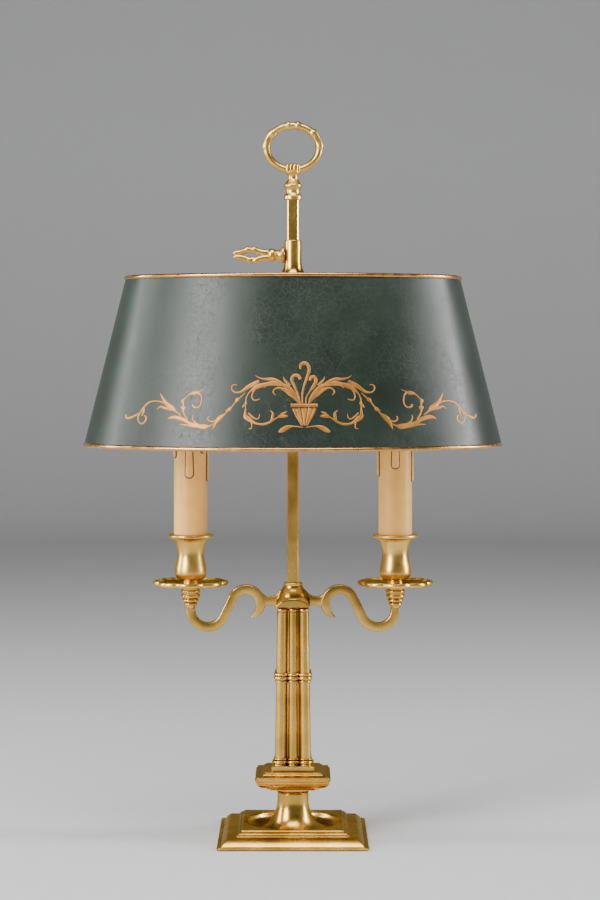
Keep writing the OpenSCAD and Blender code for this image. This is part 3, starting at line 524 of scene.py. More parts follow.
def gold_paint(name, colour, metal, rough_low, rough_high):
    """Hand-laid gold with thin and thick places."""
    it = Surface(name, Metallic=metal)
    brush = it.noise(120)
    body = it.mix(it.ramp(brush, 0.3, 0.7), tinted(colour, 0.85), tinted(colour, 1.12))
    faint = it.times(it.ramp(it.noise(700, 2), 0.68, 0.78), 0.25)
    rough = it.ramp(brush, 0.3, 0.7, rough_low, rough_high)
    return it.done(it.mix(faint, body, tinted(colour, 0.5)), rough, brush, 0.03, 0.3)


def candle_material(finish):
    """Cream moulded sleeve, toned in clouds, with brown lines round the wax runs."""
    it = Surface("candle_cream", Roughness=0.42, Subsurface_Weight=0.15, Subsurface_Scale=0.003,
                 Subsurface_Radius=(1.0, 0.6, 0.3))
    gap = it.add("ShaderNodeAttribute", output="Fac", attribute_name="run_gap")
    wobble = it.times(it.minus(it.noise(500), 0.5), 0.5)
    edge = it.calc("ABSOLUTE", it.plus(it.minus(gap, 0.1), wobble))
    toned = tinted(finish.candle, 0.92, 0.84, 0.7)
    body = it.mix(it.ramp(it.noise(60, 4, 0.6), 0.35, 0.75), finish.candle, toned)
    colour = it.mix(it.ramp(edge, 0.38, 0.68, 1, 0), body, finish.drip_line)
    return it.done(colour, None, it.noise(350), 0.08, 0.35)


def plain_finish(name, colour, rough, metal=0.0, scale=300, spread=0.12, depth=0.05):
    """A finish with fine mottling in colour, gloss and height."""
    it = Surface(name, Metallic=metal)
    mottle = it.noise(scale, 4, 0.6)
    body = it.mix(it.ramp(mottle, 0.3, 0.7), tinted(colour, 1 - spread), tinted(colour, 1 + spread))
    gloss = it.ramp(mottle, 0.3, 0.7, rough * 0.85, min(rough * 1.15, 1))
    return it.done(body, gloss, mottle, depth, 0.5)


def felt_material():
    """Green baize: short tangled fibres."""
    it = Surface("green_baize", Roughness=0.95, Sheen_Weight=0.5)
    fibre = it.noise(1600, 5, 0.75)
    body = it.mix(it.ramp(fibre, 0.3, 0.7), (0.012, 0.035, 0.018), (0.035, 0.085, 0.045))
    return it.done(body, None, fibre, 0.25, 0.8)


def opal_material():
    """Opal glass of the bulbs."""
    it = Surface("opal_glass", Roughness=0.12, Coat_Weight=0.5, Coat_Roughness=0.03,
                 Subsurface_Weight=0.4, Subsurface_Scale=0.01)
    body = it.mix(it.noise(40, 2), (0.86, 0.84, 0.78), (0.93, 0.92, 0.88))
    return it.done(body, None, it.noise(90, 2), 0.03, 0.2)


class LAMP_OT_finishes(bpy.types.Operator):
    """Make the materials of every finish on the lamp."""
    bl_idname = "lamp.finishes"
    bl_label = "Finishes"

    def execute(self, context):
        finish = context.scene.lamp_finish
        FINISHES.update(
            brass=cast_metal("aged_brass", finish.brass_light, finish.brass_dark, 0.2, 0.3),
            gilt=cast_metal("gilt_brass", finish.gilt_light, finish.gilt_dark, 0.26, 0.36),
            rim=gold_paint("rim_gilding", finish.rim, 1.0, 0.22, 0.32),
            gilding=gold_paint("ornament_gilding", finish.gilding, 0.55, 0.36, 0.5),
            lacquer=lacquer_material(finish),
            lining=lining_material(finish),
            candle=candle_material(finish),
            opal=opal_material(),
            felt=felt_material(),
            steel=plain_finish("zinced_steel", (0.55, 0.55, 0.53), 0.32, 1.0, 500),
            holder=plain_finish("white_bakelite", (0.78, 0.76, 0.70), 0.35, 0.0, 400, 0.06),
            cap=plain_finish("nickelled_cap", (0.70, 0.68, 0.63), 0.22, 1.0, 600),
            bush=plain_finish("black_rubber", (0.02, 0.02, 0.02), 0.6, 0.0, 700),
            flex=plain_finish("flex_sheath", (0.62, 0.58, 0.48), 0.5, 0.0, 500),
        )
        return {"FINISHED"}


# ---------- stand


class LAMP_OT_foot(bpy.types.Operator):
    """Build the square stepped foot with the round dish that the stem stands in."""
    bl_idname = "lamp.foot"
    bl_label = "Foot"

    def execute(self, context):
        _, half, base, height = span("base_foot")
        crest, floor, tier = base + height, bottom("pedestal_stem"), half - 15.5
        edge = [(half - x, z) for x, z in (
            (0, base), (0, 1.6), (1.6, 1.8), (1.6, 2.2), (3.3, 2.4), (3.4, 2.7), (4.2, 3.6),
            (5.3, 4.8), (6.5, 5.9), (7.6, 6.8), (8.4, 7.3))]
        edge += [(tier + 0.4, 7.7), (tier, 8), (tier, 8.5)]
        edge += arc(tier - 0.2, 9.1, 0.5, 0.5, 240, 100, 6)
        edge += [(tier - x, z) for x, z in (
            (0.7, 9.7), (1.5, 10.6), (2.6, 11.2), (3.5, 11.4), (3.8, 11.7), (3.8, crest - 0.4),
            (4.3, crest))]
        dish, bowl, boss, nut_space, recess = 39.3, 31, 19.9, 13.5, 36.3
        lip = crest - 0.9
        inside = [(dish + 0.15, crest), (dish, crest - 0.15), (dish - 0.8, lip)]
        inside += arc(bowl, lip, dish - bowl - 1.2, lip - floor, 350, 285, 14)
        inside += raised([
            (bowl, 0), (boss, 0), (boss, 3.7), (boss - 3, 4.4), (TUBE_BORE, 4.4), (TUBE_BORE, 1.5),
            (nut_space, 1.5), (nut_space, -3), (recess, -3)], floor)
        inside.append((recess, base))
        foot = make_mesh("foot", block(softened(edge, softness(context)), inside))

        low, high = node_box("cord_bush")
        axis_z, mouth, bore, bell = (low[2] + high[2]) / 2, high[1] - 1.2, 3.1, 3.7
        hole = [(0, mouth - 14), (bore, mouth - 14), (bore, mouth), (bell, mouth), (bell, half + 2),
                (0, half + 2)]
        points, faces = turning(hole, count=48)
        cutter = make_mesh("inlet_cutter", ([(x, z, axis_z + y) for x, y, z in points], faces))
        bored(foot, cutter)
        finished(foot, "brass", "stand", "base_foot")
        return {"FINISHED"}


class LAMP_OT_pedestal(bpy.types.Operator):
    """Turn the trumpet stem and mould the square platform on it."""
    bl_idname = "lamp.pedestal"
    bl_label = "Pedestal"

    def execute(self, context):
        _, foot_r, base, height = span("pedestal_stem")
        waist, collar = 12.6, 15.2
        flare, neck = height - 9.5, height - 5.5
        outer = [(foot_r, 0), (foot_r, 0.3)]
        outer += arc(foot_r, flare + 0.3, foot_r - waist, flare, 270, 180, 36)
        outer += arc(collar, neck, collar - waist, 3.6, 180, 100, 14)
        outer += [(collar, height - 1.8), (collar, height - 0.3), (collar - 0.3, height)]
        inner = [(TUBE_BORE, height), (TUBE_BORE, 7.5), (17.1, 4.6), (20.1, 3.9), (20.1, 0)]
        outline = raised(softened(outer, softness(context)) + inner, base)
        stem = make_mesh("stem", turning(outline, closed=True))
        finished(stem, "brass", "stand", "pedestal_stem")

        _, half, base, height = span("pedestal_platform")
        crown, cove = half - 8.3, height - 5.9
        edge = [(half - 12.6, 0), (half - 12.6, 0.8), (half - 9.4, 1.8), (crown, 2.7)]
        edge += arc(crown, cove, 7.3, cove - 3.1, 270, 355, 18)
        edge += [(half, cove), (half, height - 4.8), (half - 1.3, height - 4.5)]
        edge += [(half - 1.3, height - 3), *arc(half - 2, height - 1, 4.6, 2, 270, 190, 12)]
        edge += [(crown, height - 0.7), (crown, height)]
        inside = [(TUBE_BORE, base + height), (TUBE_BORE, base)]
        shape = block(raised(softened(edge, softness(context)), base), inside, 0.5, 10)
        platform = make_mesh("platform", shape)
        finished(platform, "brass", "stand", "pedestal_platform")
        return {"FINISHED"}


# ---------- clustered column


class Growth(Graph):
    """A geometry tree in the making, with a geometry and the named lengths as its inputs."""

    def __init__(self, name, *lengths):
        super().__init__(bpy.data.node_groups.new(name, "GeometryNodeTree"))
        sockets = self.tree.interface
        sockets.new_socket("Geometry", in_out="INPUT", socket_type="NodeSocketGeometry")
        sockets.new_socket("Geometry", in_out="OUTPUT", socket_type="NodeSocketGeometry")
        for label in lengths:
            sockets.new_socket(label, in_out="INPUT", socket_type="NodeSocketFloat")
        sockets.new_socket("Material", in_out="INPUT", socket_type="NodeSocketMaterial")
        self.given = self.tree.nodes.new("NodeGroupInput").outputs

    def stored(self, geometry, name, value):
        return self.add("GeometryNodeStoreNamedAttribute", {
            "Geometry": geometry, "Name": name, "Value": value}, data_type="FLOAT", domain="POINT")

    def named(self, name):
        return self.add("GeometryNodeInputNamedAttribute", {"Name": name}, data_type="FLOAT")

    def between(self, factor, first, second):
        return self.add("ShaderNodeMix", {0: factor, 2: first, 3: second})

    def spot(self, x=0.0, y=0.0, z=0.0):
        return self.add("ShaderNodeCombineXYZ", {0: x, 1: y, 2: z})

    def circle(self, steps):
        return self.add("GeometryNodeCurvePrimitiveCircle", {"Resolution": steps, "Radius": 1.0})

    def copies(self, points, thing, scale=(1, 1, 1)):
        """Real copies of a curve on points."""
        copy = self.add("GeometryNodeInstanceOnPoints", {"Points": points, "Instance": thing,
                                                         "Scale": scale})
        return self.add("GeometryNodeRealizeInstances", {"Geometry": copy})

    def swept(self, curve, steps, radius, caps=False):
        """Round bar along a curve."""
        return self.add("GeometryNodeCurveToMesh", {
            "Curve": curve, "Profile Curve": self.circle(steps), "Scale": radius,
            "Fill Caps": caps})

    def shaft_axes(self, pitch):
        """Eight points of a three-by-three grid without its middle."""
        index = self.add("GeometryNodeInputIndex")
        column = self.minus(self.calc("MODULO", index, 3.0), 1.0)
        row = self.minus(self.calc("FLOOR", self.calc("DIVIDE", index, 3.0)), 1.0)
        place = self.spot(self.times(column, pitch), self.times(row, pitch))
        points = self.add("GeometryNodePoints", {"Count": 9, "Position": place})
        centre = self.add("FunctionNodeCompare", {"A": index, "B": 4}, data_type="INT",
                          operation="EQUAL")
        kept = self.add("GeometryNodeDeleteGeometry", {"Geometry": points, "Selection": centre},
                        domain="POINT")
        return self.stored(kept, "corner", self.calc("ABSOLUTE", self.times(column, row)))

    def done(self, geometry):
        """Ends the tree in real, smooth geometry with its material."""
        real = self.add("GeometryNodeRealizeInstances", {"Geometry": geometry})
        even = self.add("GeometryNodeSetShadeSmooth", {"Geometry": real})
        painted = self.add("GeometryNodeSetMaterial", {"Geometry": even,
                                                       "Material": self.given["Material"]})
        self.tree.links.new(painted, self.tree.nodes.new("NodeGroupOutput").inputs[0])
        return self.tree


def grown(thing, tree, finish, sharp, **lengths):
    """Applies a geometry tree, its lengths given in millimetres by their sockets' names."""
    step = thing.modifiers.new("Shape", "NODES")
    step.node_group = tree
    values = {key.replace("_", " ").capitalize(): value * MM for key, value in lengths.items()}
    values["Material"] = FINISHES[finish]
    for item in tree.interface.items_tree:
        if item.in_out == "INPUT" and item.name in values:
            step[item.identifier] = values[item.name]
    return settled(thing, sharp)


def shafts_tree():
    """Eight tapering shafts that lean in together."""
    it = Growth("Leaning shafts", "Foot", "Height", "Low pitch", "High pitch", "Corner low",
                "Corner high", "Middle low", "Middle high")
    given = it.given
    axes = it.shaft_axes(given["Low pitch"])
    line = it.add("GeometryNodeCurvePrimitiveLine", {"Start": (0, 0, 0), "End": (0, 0, 1)})
    fine = it.add("GeometryNodeResampleCurve", {"Curve": line, "Count": 30})
    real = it.copies(axes, fine)
    split = it.tree.nodes.new("ShaderNodeSeparateXYZ")
    it.tree.links.new(it.add("GeometryNodeInputPosition"), split.inputs[0])
    x, y, z = split.outputs
    rising = it.stored(real, "up", z)
    up = it.named("up")
    lean = it.between(z, 1.0, it.calc("DIVIDE", given["High pitch"], given["Low pitch"]))
    place = it.spot(it.times(x, lean), it.times(y, lean),
                    it.plus(given["Foot"], it.times(z, given["Height"])))
    leaning = it.add("GeometryNodeSetPosition", {"Geometry": rising, "Position": place})
    radius = it.between(it.named("corner"),
                        it.between(up, given["Middle low"], given["Middle high"]),
                        it.between(up, given["Corner low"], given["Corner high"]))
    return it.done(it.swept(leaning, 32, radius, True))


def band_tree():
    """One moulding that lobes round each of the eight shafts."""
    it = Growth("Lobed band", "Height", "Thickness", "Pitch", "Corner radius", "Middle radius")
    given = it.given
    axes = it.shaft_axes(given["Pitch"])
    half = it.times(given["Thickness"], 0.5)
    reach = it.between(it.named("corner"), given["Middle radius"], given["Corner radius"])
    size = it.minus(reach, half)
    skin = it.swept(it.copies(axes, it.circle(40), it.spot(size, size, size)), 14, half)
    return it.done(it.add("GeometryNodeSetPosition", {"Geometry": skin,
                                                      "Offset": it.spot(z=given["Height"])}))


def bead_tree():
    """A bead swept along a closed path."""
    it = Growth("Rolled rim", "Bead radius")
    path = it.add("GeometryNodeMeshToCurve", {"Mesh": it.given["Geometry"]})
    return it.done(it.swept(path, 18, it.given["Bead radius"]))


class LAMP_OT_column(bpy.types.Operator):
    """Grow the clustered column: eight leaning shafts, their core and the lobed bands."""
    bl_idname = "lamp.column"
    bl_label = "Clustered column"

    def execute(self, context):
        _, half, base, height = span("column")
        plinth, mid = 3.8, 70.6
        foot, head = plinth + 5.9, height - 4.2
        # At the foot and at the head: the distance between the shafts' axes, and the radii of
        # the shafts at the corners and of those between them
        pitch, corner, centre = (10.1, 8.85), (4.5, 3.9), (4.0, 3.45)

        def at(pair, z):
            """Value at a height, from those at the foot and at the head."""
            return pair[0] + (pair[1] - pair[0]) * ((z - foot) / (head - foot))

        shafts = placed("shafts", bpy.data.meshes.new("shafts"))
        parts = [grown(shafts, shafts_tree(), "brass", 40, foot=base + foot, height=head - foot,
                       low_pitch=pitch[0], high_pitch=pitch[1], corner_low=corner[0],
                       corner_high=corner[1], middle_low=centre[0], middle_high=centre[1])]
        band = band_tree()
        # Each band's lowest height, thickness and stand from the shafts
        for z, thick, proud in (
                (plinth - 0.2, 1.5, 0.9), (plinth + 1.2, 3.2, 1.4), (plinth + 4.8, 1.2, 1.1),
                (mid, 1.6, 1.0), (mid + 2.2, 3.0, 2.0), (mid + 5.2, 2.8, 1.9),
                (height - 4.2, 3.3, 0.5)):
            level = z + thick / 2
            ring = placed("band", bpy.data.meshes.new("band"))
            parts.append(grown(ring, band, "brass", 40, height=base + level, thickness=thick,
                               pitch=at(pitch, level), corner_radius=at(corner, level) + proud,
                               middle_radius=at(centre, level) + proud))
        core = [(TUBE_BORE, 0), (pitch[0] + 1, 0), (pitch[0] + 1, mid), (pitch[1] + 0.9, height),
                (TUBE_BORE, height)]
        parts.append(make_mesh("column_core", turning(raised(core, base), closed=True)))
        edge = softened([(half, 0), (half, plinth - 0.4), (half - 0.4, plinth)], 0.3)
        inside = [(TUBE_BORE, base + plinth), (TUBE_BORE, base)]
        parts.append(make_mesh("plinth", block(raised(edge, base), inside, 0.4, 8)))
        finished(merged("column_cluster", parts), "brass", "stand", "column")
        return {"FINISHED"}


# ---------- hub and arms


class LAMP_OT_hub(bpy.types.Operator):
    """Shape the bell-topped square hub that holds both arms and the bar."""
    bl_idname = "lamp.hub"
    bl_label = "Hub"

    def execute(self, context):
        _, half, base, height = span("arm_hub")
        crown, ease = height - 2.6, 0.25
        bell = spline([
            (20.4, 0.1), (19.3, 0.9), (18, 2.4), (16.5, 4.3), (15.3, 5.4), (14.5, 5.95),
            (13.7, 6.35), (13.1, 6.9), (12.6, 7.8), (12.1, 9), (11.5, 10.3), (10.7, 11.7),
            (9.7, 13), (8.7, 14.2), (8, 15.3), (7.7, 16.4)], 4)
        plan = square_ring(half, 0.6, 0, 30)

        def rise(r):
            """Height of the bell at a radius."""
            for (wide, lower), (slim, upper) in zip(bell, bell[1:]):
                if slim <= r <= wide:
                    return lower + (upper - lower) * (wide - r) / (wide - slim)
            return bell[-1][1]

        def ring(radius, z):
            """Ring whose radius and height come from the radius of the square block."""
            points = []
            for x, y, _ in plan:
                block_r = math.hypot(x, y)
                r = radius(block_r)
                points.append((x * r / block_r, y * r / block_r, base + z(block_r, r)))
            return points

        rings = [ring(lambda b: b - ease, lambda b, r: 0)]
        for t in (0, 0.3, 0.6, 0.85, 1):
            rings.append(ring(lambda b: b, lambda b, r: ease + (rise(b) - 2 * ease) * t))
        for t in (0, 0.04, 0.1, 0.18, 0.27, 0.36, 0.46, 0.56, 0.66, 0.76, 0.86, 0.94, 1):
            rings.append(ring(lambda b: (b - ease) * (1 - t) + bell[-1][0] * t,
                              lambda b, r: rise(r)))
        for r, z in ((7.4, crown), (7.6, crown + 0.4), (7.6, height - 0.5), (7.2, height)):
            rings.append(ring(lambda b: r, lambda b, _: z))
        finished(make_mesh("hub", loft(rings), 35), "brass", "stand", "arm_hub")
        return {"FINISHED"}


def rounded_section(half, round_off, steps=4):
    """Rounded square as (outward, sideways) points."""
    flat = half - round_off
    corner = [math.radians(90 * k / steps) for k in range(steps + 1)]
    return [turned(flat + round_off * math.cos(a), flat + round_off * math.sin(a), 0, quarter)[:2]
            for quarter in range(4) for a in corner]


def spin(angle):
    """Unit vector at an angle in degrees."""
    return Vector((math.cos(math.radians(angle)), math.sin(math.radians(angle))))


class LAMP_OT_arms(bpy.types.Operator):
    """Sweep both scroll arms, from their tails beside the hub to the bend under each candle."""
    bl_idname = "lamp.arms"
    bl_label = "Scroll arms"

    def execute(self, context):
        reach, _, end_z, _ = span("arm_ferrule_right")
        neck_z, half = bottom("arm_hub") + 3.8, 3.7
        # Centres and radii of the scroll and of the bend, from the neck at the lamp's axis
        scroll, bend = Vector((38, -2)), Vector((reach - 14, -7))
        scroll_r, bend_r, tail_end = 11.7, 14, 251
        gap = bend - scroll
        touch = math.degrees(math.atan2(gap.y, gap.x) + math.acos((scroll_r + bend_r) / gap.length))
        # The arm's middle line, its outward direction and how far the tail has thinned
        stations = []
        for i in range(85):
            a = tail_end + (touch - tail_end) * i / 84
            tail = max(0, (a - 180) / (tail_end - 180))
            stations.append((scroll + scroll_r * spin(a), spin(a), tail))
        for i in range(1, 49):
            a = 180 + touch + (180 - touch) * i / 48
            stations.append((bend + bend_r * spin(a), -spin(a), 0))
        stations.append((Vector((reach, end_z - neck_z)), Vector((-1, 0)), 0))
        section, neck_section = rounded_section(half, 1.15), rounded_section(3.1, 1)
        face = scroll.x - math.sqrt((scroll_r + half) ** 2 - scroll.y ** 2)
        # The neck, as (distance, swelling upwards, swelling downwards)
        flare = spline([
            (10, 6, 0), (10.8, 5.1, 0), (11.8, 4, 0), (12.8, 3, 0), (13.8, 2.2, 0), (15, 1.6, 0),
            (16.6, 1.1, 0), (18.6, 0.8, 0), (face - 3.4, 0.6, 0), (face - 1.6, 0.8, 0.35),
            (face - 0.3, 1.3, 1.1), (face + 1, 2.3, 2.3), (face + 3.2, 3.2, 3.2)], 4)
        for side, sign in SIDES.items():
            rings = []
            for spot, out, tail in stations:
                thin, slim = 1 - 0.92 * tail ** 2, 1 - 0.4 * tail ** 2
                rings.append([(sign * (spot.x + out.x * q[0] * thin), q[1] * slim,
                               neck_z + spot.y + out.y * q[0] * thin) for q in section])
            neck = [[(sign * x, q[1] * (1 + 0.05 * under),
                      neck_z + q[0] + (over if q[0] > 0 else -under)) for q in neck_section]
                    for x, over, under in flare]
            arm = make_mesh("scroll_arm_" + side, joined(loft(rings), loft(neck)), 40)
            finished(arm, "brass", "stand", "arm_" + side)
        return {"FINISHED"}


# ---------- candle lights


class LAMP_OT_ferrules(bpy.types.Operator):
    """Turn the ringed ferrules that join the arms to the drip pans."""
    bl_idname = "lamp.ferrules"
    bl_label = "Ferrules"

    def execute(self, context):
        r, lip, bore, socket_r = 7.75, 3.7, 2.6, 5
        for side in SIDES:
            node = "arm_ferrule_" + side
            middle, _, base, height = span(node)
            outline = [(bore, 0), (lip, 0), (lip + 0.5, 1)]
            # Each ring's depth from the widest, its height and its radii
            for back, z, rx, rz in ((3.3, 3.2, 0.9, 1), (2.2, 6.3, 1, 1.2), (1.2, 9.9, 1.1, 1.4),
                                    (1.1, 13.6, 1.1, 1.6)):
                outline += arc(r - back, z, rx, rz, 270, 450, 12)
            outline += [(r - 1.1, height - 1), (r - 0.6, height), (socket_r, height),
                        (socket_r, 8), (bore, 8)]
            shape = raised(softened(outline, softness(context) * 0.5, True, 40), base)
            ferrule = make_mesh("ferrule_" + side, turning(shape, middle, True))
            finished(ferrule, "brass", "stand", node)
        return {"FINISHED"}


class LAMP_OT_pans(bpy.types.Operator):
    """Dish the thin drip pans and scallop their rims."""
    bl_idname = "lamp.pans"
    bl_label = "Drip pans"

    def execute(self, context):
        lobes, count = 8, 256
        thick, bead, tall = 1.2, 1.4, 1.9
        for side in SIDES:
            node = "drip_pan_" + side
            centre, reach, base, height = span(node)
            lobe_r = reach * math.sin(math.pi / lobes) * 1.16
            flat, rim_z = reach * 0.42, height - tall

            def rim(angle):
                """Radius of the scalloped edge at a bearing."""
                step = TURN / lobes
                off = (angle + step / 2) % step - step / 2
                hub = reach - lobe_r
                return hub * math.cos(off) + math.sqrt(
                    max(lobe_r ** 2 - (hub * math.sin(off)) ** 2, 0))

            def section(edge):
                """Outline of the pan between its bore and its edge, from below to above."""
                under = [(TUBE_BORE, 0), (flat * 0.8, 0)]
                under += [(flat + (edge - 5 - flat) * t / 10, 2.3 * (t / 10) ** 1.4)
                          for t in range(11)]
                lip = [(edge - 3.2, rim_z - tall + 0.3)]
                lip += arc(edge - bead, rim_z, bead, tall, 270, 495, 20)
                over = [(edge - 3.1, rim_z + 0.6), (edge - 3.8, rim_z + 0.15)]
                over += [(x, z + thick) for x, z in reversed(under[:-1])]
                return under + lip + over

            rings = []
            for k in range(count):
                a = TURN * k / count
                rings.append([(centre + r * math.cos(a), r * math.sin(a), base + z)
                              for r, z in section(rim(a))])
            pan = make_mesh("pan_" + side, loft(rings, closed=True), 45)
            finished(pan, "gilt", "stand", node)
        return {"FINISHED"}


class LAMP_OT_cups(bpy.types.Operator):
    """Turn the candle cups with their belly, waist and flange."""
    bl_idname = "lamp.cups"
    bl_label = "Candle cups"

    def execute(self, context):
        belly, waist, belly_z, waist_z = 12.8, 10.6, 11, 26
        recess, throat = 13.6, 8.7
        for side in SIDES:
            node = "candle_cup_" + side
            middle, flange, base, height = span(node)
            lip = height - 3.2
            outer = [(7.9, 0), (7.9, 0.6), (6.5, 1.3), (6.3, 4.2), (6.9, 4.9)]
            outer += arc(belly - 4.2, belly_z, 4.2, 5.8, 285, 345, 14)
            outer += [(waist + (belly - waist) * (1 + math.cos(math.pi * i / 24)) / 2,
                       belly_z + (waist_z - belly_z) * i / 24) for i in range(25)]
            outer += [(waist + 2 * (i / 12) ** 2, waist_z + (lip - 2.5 - waist_z) * i / 12)
                      for i in range(1, 13)]
            outer += [(waist + 3.4, lip - 0.6), (flange - 1.6, lip)]
            outer += arc(flange - 1.6, lip + 1.6, 1.6, 1.6, 285, 450, 18)
            inner = [(recess, height), (recess, height - 1), (recess - 3.4, height - 1),
                     (throat, waist_z + 5), (throat, waist_z - 6), (belly - 2.2, 13),
                     (belly - 3, 7.5), (TUBE_BORE, 7.5), (TUBE_BORE, 0)]
            outline = raised(softened(outer, softness(context)) + inner, base)
            cup = make_mesh("cup_" + side, turning(outline, middle, True))
            finished(cup, "gilt", "stand", node)
        return {"FINISHED"}


# Wax runs as (bearing in degrees, length, width), as the moulded sleeves carry them
WAX_RUNS = {
    "left": [(268, 38, 6.6), (352, 41, 5), (318, 18, 4.6), (205, 22, 5), (150, 34, 5.6),
             (95, 27, 6), (38, 20, 5)],
    "right": [(268, 30.5, 6.4), (352, 42, 5.2), (188, 37.5, 5.2), (230, 16, 4.6), (140, 26, 5),
              (92, 35, 6), (42, 22, 5)],
}


def run_gap(angle, depth, runs):
    """Signed distance to the nearest wax run, negative on it, and that run's width."""
    nearest, width = 99.0, 1.0
    for bearing, length, w in runs:
        off = (angle - math.radians(bearing) + math.pi) % TURN - math.pi
        x, drop = off * SLEEVE_R, length - w / 2
        neck = 0.5 * w * (0.78 + 0.22 * min(max(depth / drop, 0), 1) ** 2)
        fillet = 2.2 * math.exp(-depth / 2.5)
        gap = abs(x) - neck - fillet if depth < drop else math.hypot(x, depth - drop) - w / 2
        if gap < nearest:
            nearest, width = gap, w
    return nearest, width


def store_gaps(sleeve, runs, centre, crest):
    """Keeps each outer vertex's distance to the wax runs for the material's outline."""
    inner_r, far = SLEEVE_R - 0.6, 9.0
    values = []
    for v in sleeve.data.vertices:
        x, y, z = v.co.x / MM - centre, v.co.y / MM, v.co.z / MM
        outside = math.hypot(x, y) > inner_r
        values.append(run_gap(math.atan2(y, x), crest - z, runs)[0] if outside else far)
    layer = sleeve.data.attributes.new("run_gap", "FLOAT", "POINT")
    layer.data.foreach_set("value", values)


class LAMP_OT_candles(bpy.types.Operator):
    """Mould the imitation candles with their wax runs."""
    bl_idname = "lamp.candles"
    bl_label = "Candle sleeves"

    def execute(self, context):
        around, bore_r = 288, SLEEVE_R - 1.2
        for side, sign in SIDES.items():
            node, centre, runs = "candle_sleeve_" + side, sign * LIGHT_REACH, WAX_RUNS[side]
            _, _, base, height = span(node)
            depths = [0, 0.25, 0.6] + [1 + 0.5 * i for i in range(86)]
            depths += [46 + 5 * i for i in range(8)]
            depths = [d for d in depths if d < height] + [height]
            rings = []
            for depth in depths:
                ring = []
                for k in range(around):
                    a = TURN * k / around
                    gap, width = run_gap(a, depth, runs)
                    inside = max(0, -gap) / (width / 2)
                    lift = 0.34 * width * math.sqrt(max(0, 1 - (1 - min(inside, 1)) ** 2)) * 0.82
                    if depth < 1:
                        lift -= 0.5 * (1 - depth) ** 2
                    r = SLEEVE_R + lift
                    ring.append((centre + r * math.cos(a), r * math.sin(a), base + height - depth))
                rings.append(ring)
            for r, z in ((bore_r, 0), (bore_r, height - 0.3), (bore_r + 0.3, height)):
                rings.append(circle_ring(r, base + z, around, centre))
            sleeve = make_mesh("sleeve_" + side, loft(rings, closed=True), 60)
            store_gaps(sleeve, runs, centre, base + height)
            finished(sleeve, "candle", "stand", node)
        return {"FINISHED"}


class LAMP_OT_bulbs(bpy.types.Operator):
    """Blow the opal candle bulbs."""
    bl_idname = "lamp.bulbs"
    bl_label = "Bulbs"

    def execute(self, context):
        neck, belly_z, wall = 8.6, 29, 1
        for side in SIDES:
            node = "bulb_glass_" + side
            middle, widest, base, height = span(node)
            outer = [(neck + (widest - neck) * (1 - math.cos(math.pi * i / 24)) / 2,
                      belly_z * i / 24) for i in range(24)]
            outer += [(widest * math.cos(math.pi / 2 * i / 40),
                       belly_z + (height - belly_z) * i / 40) for i in range(41)]
            inner = [(max(r - wall, 0), z * (height - wall) / height) for r, z in reversed(outer)]
            bulb = make_mesh("bulb_" + side, turning(raised(outer + inner, base), middle, True))
            finished(bulb, "opal", "bulb_" + side, node)
        return {"FINISHED"}


# ---------- shade


class Oval:
    """The shade's plan: four arcs that shrink together as the wall rises."""

    def __init__(self):
        _, _, self.base, self.height = span("shade_shell")
        # Radius of the end arcs at the low edge, their centres' distance and half the width
        self.end, self.centre_x, half_width = 92.0, 77.0, 120.0
        deep = half_width - self.end
        self.centre_y = (self.centre_x ** 2 - deep ** 2) / (2 * deep)
        self.reach = math.hypot(self.centre_x, self.centre_y)
        self.turn = math.atan2(self.centre_y, self.centre_x)
        # How far the wall draws in with each millimetre, and the height that it starts from
        self.draw = 33.5 / 134.2
        self.zero = self.base - RIM_BEAD * math.sin(math.radians(65))

    def wall(self, z):
        """Radius of the sheet's middle at a height, from an end arc's centre."""
        return self.end - HALF_SHEET - self.draw * (z - self.zero)

    def stations(self, count):
        """Centre, bearing and extra radius at even steps along the low edge."""
        long_turn = math.pi - 2 * self.turn
        lengths = [2 * self.turn * self.end, long_turn * (self.end + self.reach)] * 2
        total = sum(lengths)
        result = []
        for i in range(count):
            along = (total * i / count + lengths[0] / 2) % total
            part = 0
            while along > lengths[part]:
                along -= lengths[part]
                part += 1
            flip, start = (1, 0) if part < 2 else (-1, math.pi)
            share = along / lengths[part]
            if part % 2 == 0:
                bearing = start - self.turn + 2 * self.turn * share
                result.append((flip * self.centre_x, 0, bearing, 0))
            else:
                bearing = start + self.turn + long_turn * share
                result.append((0, -flip * self.centre_y, bearing, self.reach))
        return result

    def ring(self, r, z, count=288):
        """Ring of points at a radius from the end arcs' centres."""
        return [(x + (r + more) * math.cos(a), y + (r + more) * math.sin(a), z)
                for x, y, a, more in self.stations(count)]

    def front(self, x, z):
        """Point and outward normal on the outside of the shade's front."""
        r = self.wall(z) + HALF_SHEET
        big, utmost = r + self.reach, 0.98
        if abs(x) <= big * math.cos(self.turn):
            y = self.centre_y - math.sqrt(big ** 2 - x ** 2)
            out = Vector((x, y - self.centre_y, 0)).normalized()
        else:
            off = x - math.copysign(self.centre_x, x)
            off = max(-utmost * r, min(utmost * r, off))
            y = -math.sqrt(r ** 2 - off ** 2)
            out = Vector((off, y, 0)).normalized()
        return Vector((x, y, z)), Vector((out.x, out.y, self.draw)).normalized()


